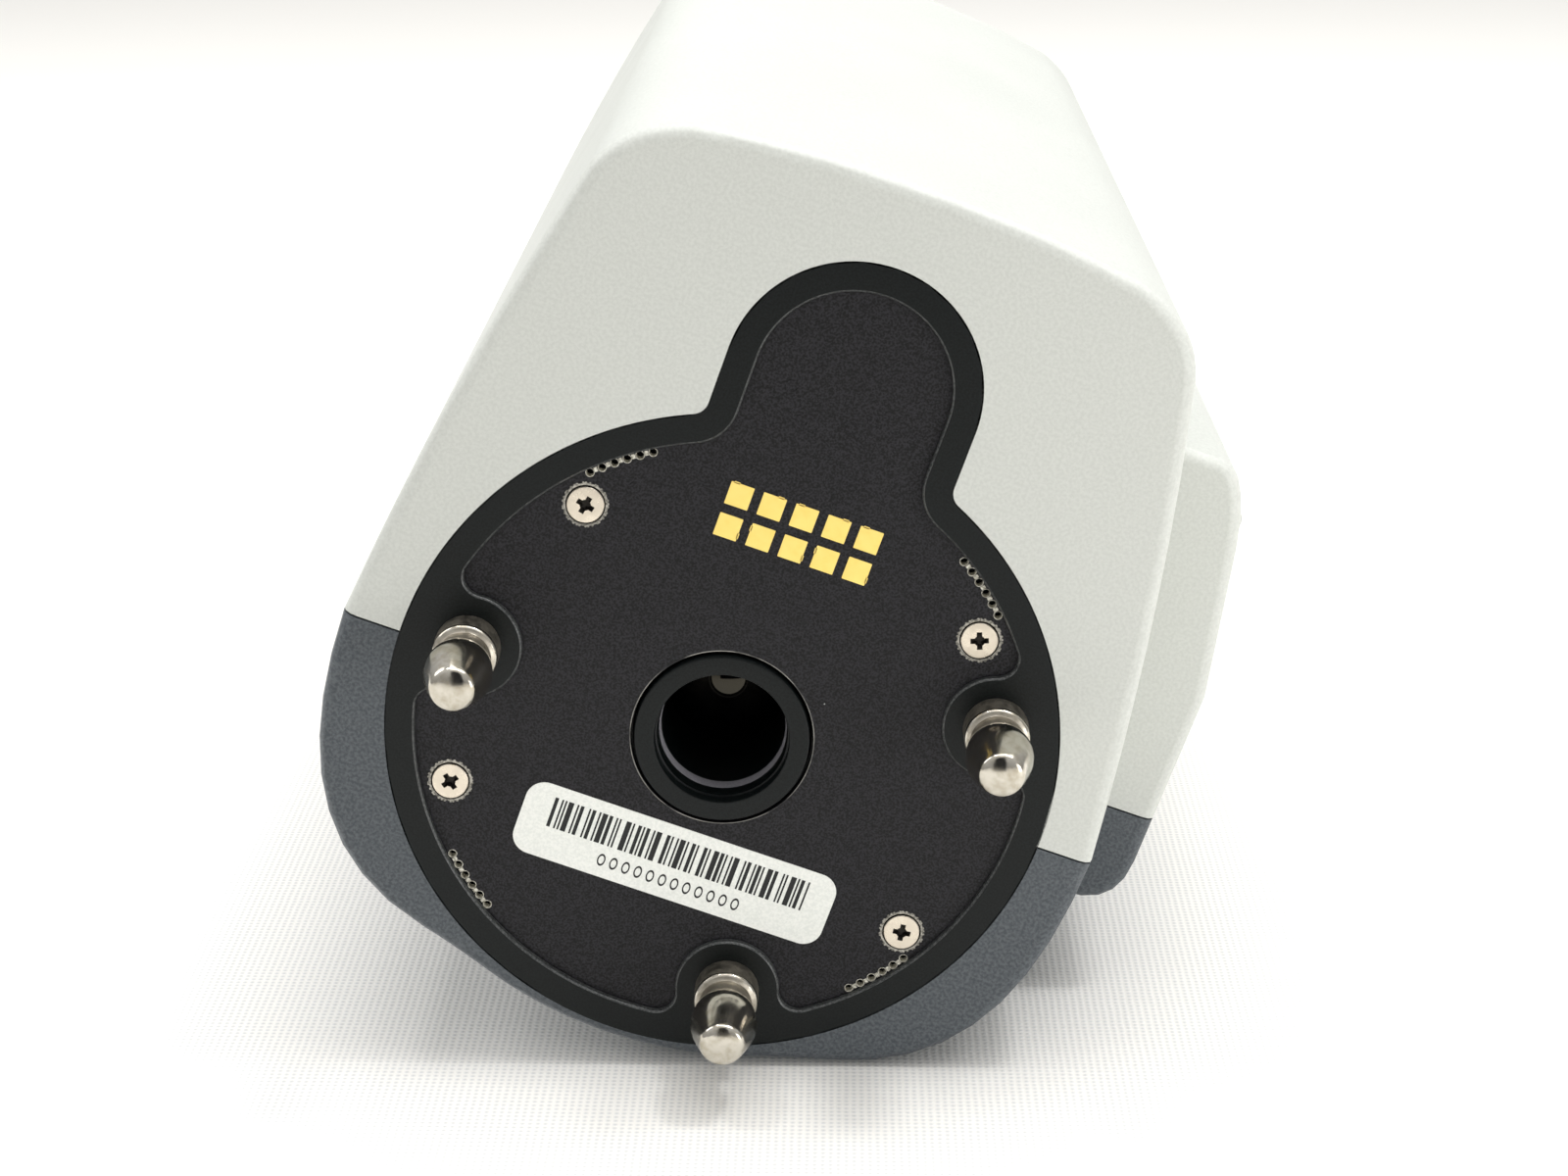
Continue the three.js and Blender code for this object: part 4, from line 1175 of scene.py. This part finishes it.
@dataclass
class PanelPrint:
    """What is printed on the keys, which is plain shapes only, and the display's lit area."""

    proud: float = 0.04
    border: float = 3.0

    def build(self) -> None:
        """Make the display's area and the marks, each on its own key's body."""
        low, high = self._face("display_glass")
        middle = (low + high) / 2
        size = high - low
        self._stamp("display_area", "display_glass", Stock.LCD,
                    [(middle.x, middle.y, size.x - 2 * self.border, size.y - 2 * self.border)])
        for number in range(1, 4):
            middle = self._middle(f"function_key_{number}")
            self._stamp(f"function_mark_{number}", f"function_key_{number}", Stock.PALE_PRINT,
                        [(middle.x, middle.y - 0.8 * row, 5.0 - row, 0.5)
                         for row in range(number)])
        middle = self._middle("power_key")
        self._stamp("power_mark", "power_key", Stock.PALE_PRINT,
                    [(middle.x, middle.y, 0.6, 2.6)])
        middle = self._middle("enter_key")
        self._stamp("enter_mark", "enter_key", Stock.PALE_PRINT,
                    [(middle.x, middle.y, 2.6, 0.6), (middle.x + 1.3, middle.y + 0.6, 0.6, 1.8)])
        self._arrows(self._middle("nav_pad"))

    def _face(self, node: str) -> tuple[Vector, Vector]:
        """Return the corners of a node's front face, across and up, in millimetres."""
        low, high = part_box(node)
        return Vector((low.x, low.z)) / MM, Vector((high.x, high.z)) / MM

    def _middle(self, node: str) -> Vector:
        """Return the middle of a node's front face, across and up, in millimetres."""
        low, high = self._face(node)
        return (low + high) / 2

    def _stamp(self, name: str, node: str, stock: Stock,
               bars: list[tuple[float, float, float, float]]) -> None:
        """Lay thin bars on a node's front face.

        Args:
            name: the piece's name.
            node: the solid that carries it.
            stock: its finish.
            bars: middle across, middle up, width and height of each bar.
        """
        bm = bmesh.new()
        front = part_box(node)[0].y / MM
        for across, up, width, height in bars:
            slab(bm, (across, front - self.proud / 2, up), (width, self.proud * 2, height))
        bench(name, stock, bm, body=body_of(node))

    def _arrows(self, middle: Vector) -> None:
        """Lay four small arrowheads on the round pad.

        Args:
            middle: the middle of the pad's face, across and up.
        """
        bm = bmesh.new()
        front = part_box("nav_pad")[0].y / MM
        reach = (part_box("nav_pad")[1].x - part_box("nav_pad")[0].x) / MM * 0.36
        for quarter in range(4):
            angle = quarter * math.pi / 2
            place = Matrix.Translation((middle.x + reach * math.cos(angle), front - 0.02,
                                        middle.y + reach * math.sin(angle)))
            bmesh.ops.create_cone(bm, cap_ends=True, segments=3, radius1=0.95, radius2=0.95,
                                  depth=self.proud * 2, matrix=place
                                  @ Matrix.Rotation(math.pi / 2, 4, "X")
                                  @ Matrix.Rotation(-angle + math.pi / 2, 4, "Z"))
        bench("nav_pad_marks", Stock.PALE_PRINT, bm,
              body=body_of("nav_pad"))


@dataclass
class Head(Assembly):
    """The turning head: turntable, fork, covers, knobs and handle."""

    parts: tuple[Softened, ...] = (
        Softened("turntable", Stock.ANODISED_BLACK, 0.4),
        Softened("left_upright", Stock.WHITE_SHELL, 1.0, 3),
        Softened("right_upright", Stock.WHITE_SHELL, 1.0, 3),
        Softened("left_side_cover", Stock.SLATE_SHELL, 1.0, 3),
        Softened("right_side_cover", Stock.SLATE_SHELL, 1.0, 3),
        Softened("elevation_drive_knob", Stock.RUBBER, 0.25),
        Softened("azimuth_drive_knob", Stock.RUBBER, 0.25),
        Softened("carry_handle", Stock.SLATE_SHELL, 2.6, 4),
    )


@dataclass
class Telescope(Assembly):
    """The tilting telescope: housing, objective, focus and diopter rings, sight."""

    parts: tuple[Softened, ...] = (
        Softened("telescope_housing", Stock.WHITE_SHELL, 1.2, 3),
        Softened("objective_ring", Stock.ANODISED_BLACK, 0.3),
        Softened("objective_lens", Stock.LENS, 0.2),
        Softened("focus_ring", Stock.RUBBER, 0.25),
        Softened("diopter_ring", Stock.RUBBER, 0.25),
        Softened("optical_sight", Stock.BLACK_ABS, 0.4),
        Softened("left_trunnion_axle", Stock.STEEL, 0.4),
        Softened("right_trunnion_axle", Stock.STEEL, 0.4),
    )


@dataclass
class Works:
    """What the shells hide: frame, bearings, drive, boards."""

    finishes: dict[str, Stock] = field(default_factory=lambda: {
        "chassis": Stock.ALLOY, "axis_housing": Stock.ALLOY, "lower_bearing": Stock.STEEL,
        "upper_bearing": Stock.STEEL, "azimuth_stator": Stock.COPPER,
        "azimuth_rotor": Stock.STEEL, "azimuth_read_head": Stock.BLACK_ABS,
        "azimuth_shaft": Stock.STEEL, "azimuth_encoder_disc": Stock.DISPLAY,
        "main_board": Stock.SOLDER_MASK, "left_trunnion_bearing": Stock.STEEL,
        "right_trunnion_bearing": Stock.STEEL})

    def build(self) -> None:
        """Give each hidden solid its own finish."""
        for node, stock in self.finishes.items():
            slots = frame["nodes"][node].data.materials
            slots.clear()
            slots.append(SHELF.take(stock))
            LOG.info("%s: %s", node, stock.value.name)


# --------------------------------------------------------------------------- studio


@dataclass(frozen=True)
class LightPanel:
    """A square light panel that faces the instrument."""

    name: str
    place_m: tuple[float, float, float]
    side_m: float
    watts: float

    def hang(self) -> None:
        """Put the panel in its place and aim it."""
        data = bpy.data.lights.new(self.name, "AREA")
        data.size, data.energy = self.side_m, self.watts
        panel = bpy.data.objects.new(self.name, data)
        panel.location = self.place_m
        panel.rotation_mode = "QUATERNION"
        aim = Vector((0, 0, 0.1)) - Vector(self.place_m)
        panel.rotation_quaternion = aim.to_track_quat("-Z", "Y")
        bpy.context.scene.collection.objects.link(panel)


@dataclass
class Studio:
    """Camera, lights, the cloth that the instrument lies on, a dark flag and a pale floor."""

    eye_mm: tuple[float, float, float] = (36.66, 156.0, -412.8)
    look: tuple[float, float, float] = (-0.08605, -0.29973, 0.95014)
    up: tuple[float, float, float] = (0.32424, 0.89333, 0.31118)
    lens_mm: float = 68.04
    sensor_mm: float = 36.0
    cloth_normal: tuple[float, float, float] = (0.335, 0.942, 0.0)
    cloth_offset_mm: float = -54.0
    flag_size_m: tuple[float, float] = (0.24, 0.5)
    flag_behind_m: float = 0.05
    room_strength: tuple[float, float] = (0.15, 0.78)
    panels: tuple[LightPanel, ...] = (
        LightPanel("ceiling_light", (0.1, 1.14, 0.25), 1.2, 12.0),
        LightPanel("right_downlight", (-0.05, 1.23, 0.0), 0.14, 3.2),
        LightPanel("left_downlight", (0.75, 0.95, 0.05), 0.14, 1.8),
        LightPanel("side_light", (-0.45, 0.16, -0.3), 0.25, 0.9),
        LightPanel("wall_light", (1.0, 0.35, 0.25), 0.6, 3.4),
        LightPanel("front_light", (0.5, -1.2, 0.9), 1.0, 14.0),
    )

    def build(self) -> None:
        """Set the whole stage."""
        self.set_camera()
        self.set_light()
        self.lay_cloth()
        self.lay_floor()
        self.hang_flag()
        bpy.context.scene.view_settings.view_transform = "Standard"

    def set_camera(self) -> None:
        """Place the camera below the base, looking up at it."""
        camera = bpy.data.objects.new("camera", bpy.data.cameras.new("camera"))
        bpy.context.scene.collection.objects.link(camera)
        camera.matrix_world = Matrix.Translation(Vector(self.eye_mm) * MM) @ self._turn()
        camera.data.lens = self.lens_mm
        camera.data.sensor_width = self.sensor_mm
        camera.data.clip_start = 0.01
        bpy.context.scene.camera = camera

    def _turn(self) -> Matrix:
        """Work out how a thing is turned that faces along the camera's line of sight.

        Returns:
            The turn.
        """
        look = Vector(self.look).normalized()
        right = look.cross(Vector(self.up)).normalized()
        return Matrix((right, right.cross(look), -look)).transposed().to_4x4()

    def set_light(self) -> None:
        """Light the stage softly: a bright ceiling over the cloth and a paler room."""
        world = bpy.data.worlds.new("room")
        bpy.context.scene.world = world
        world.use_nodes = True
        tree = world.node_tree
        room = tree.nodes["Background"]
        way = add_node(tree, "ShaderNodeTexCoord").outputs["Generated"]
        over = add_node(tree, "ShaderNodeVectorMath", {0: way, 1: self.cloth_normal},
                        operation="DOT_PRODUCT")
        grade = add_node(tree, "ShaderNodeMapRange", {
            "Value": over.outputs["Value"], "From Min": -0.6, "From Max": 0.8,
            "To Min": self.room_strength[0], "To Max": self.room_strength[1]})
        seen = add_node(tree, "ShaderNodeLightPath").outputs["Is Camera Ray"]
        level = add_node(tree, "ShaderNodeMix", data_type="FLOAT")
        tree.links.new(seen, level.inputs[0])
        tree.links.new(grade.outputs["Result"], level.inputs[2])
        level.inputs[3].default_value = 1.0
        tree.links.new(level.outputs[0], room.inputs["Strength"])
        room.inputs["Color"].default_value = (1.0, 1.0, 1.0, 1.0)
        for panel in self.panels:
            panel.hang()

    def _sheet(self, name: str, size: float, turn: Matrix, finish: Finish) -> Object:
        """Lay a square surface of the stage.

        Args:
            name: its name.
            size: half its side, in metres.
            turn: its place and turn.
            finish: what it is made of.

        Returns:
            The surface.
        """
        bm = bmesh.new()
        bmesh.ops.create_grid(bm, x_segments=1, y_segments=1, size=size)
        mesh = bpy.data.meshes.new(name)
        bm.to_mesh(mesh)
        bm.free()
        surface = bpy.data.objects.new(name, mesh)
        surface.matrix_world = turn
        bpy.context.scene.collection.objects.link(surface)
        mesh.materials.append(finish.make())
        return surface

    def lay_cloth(self) -> None:
        """Lay the white cloth under the instrument's front."""
        normal = Vector(self.cloth_normal).normalized()
        turn = normal.to_track_quat("Z", "Y").to_matrix().to_4x4()
        place = Matrix.Translation(normal * self.cloth_offset_mm * MM)
        cloth = self._sheet("table_cloth", 1.5, place @ turn,
                            WovenCloth("table_cloth", "F4F2ED", 0.85))
        cloth.visible_shadow = False

    def hang_flag(self) -> None:
        """Hang a dark flag behind the camera, which only polished parts can see."""
        wide, tall = self.flag_size_m
        behind = Vector(self.look).normalized() * self.flag_behind_m
        place = Matrix.Translation(Vector(self.eye_mm) * MM - behind)
        flag = self._sheet("dark_flag", 0.5,
                           place @ self._turn() @ Matrix.Rotation(math.pi, 4, "Y")
                           @ Matrix.Diagonal((wide, tall, 1, 1)),
                           StagePaint("dark_flag", "15161A", 0.9, specular=0.1))
        flag.visible_camera = flag.visible_diffuse = flag.visible_shadow = False

    def lay_floor(self) -> None:
        """Lay the floor at the tips of the pins; it lights and shades nothing."""
        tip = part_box("locating_pin_1")[0].z
        floor = self._sheet("pale_floor", 2.5, Matrix.Translation((0, 0, tip - 0.0005)),
                            StagePaint("pale_floor", "F2F2F0", 0.8))
        floor.visible_diffuse = floor.visible_glossy = floor.visible_shadow = False
        floor.visible_transmission = False


def main() -> None:
    """Build the stage and the instrument."""
    logging.basicConfig(level=logging.INFO, format="%(name)s: %(message)s")
    Studio().build()
    makers: list[Callable[[], None]] = [
        DockingBase().build, SerialLabel().build, Plummet().build, Column().build,
        PanelPrint().build, Head().build, Telescope().build, Works().build]
    for make in makers:
        make()


if __name__ == "__main__":
    main()
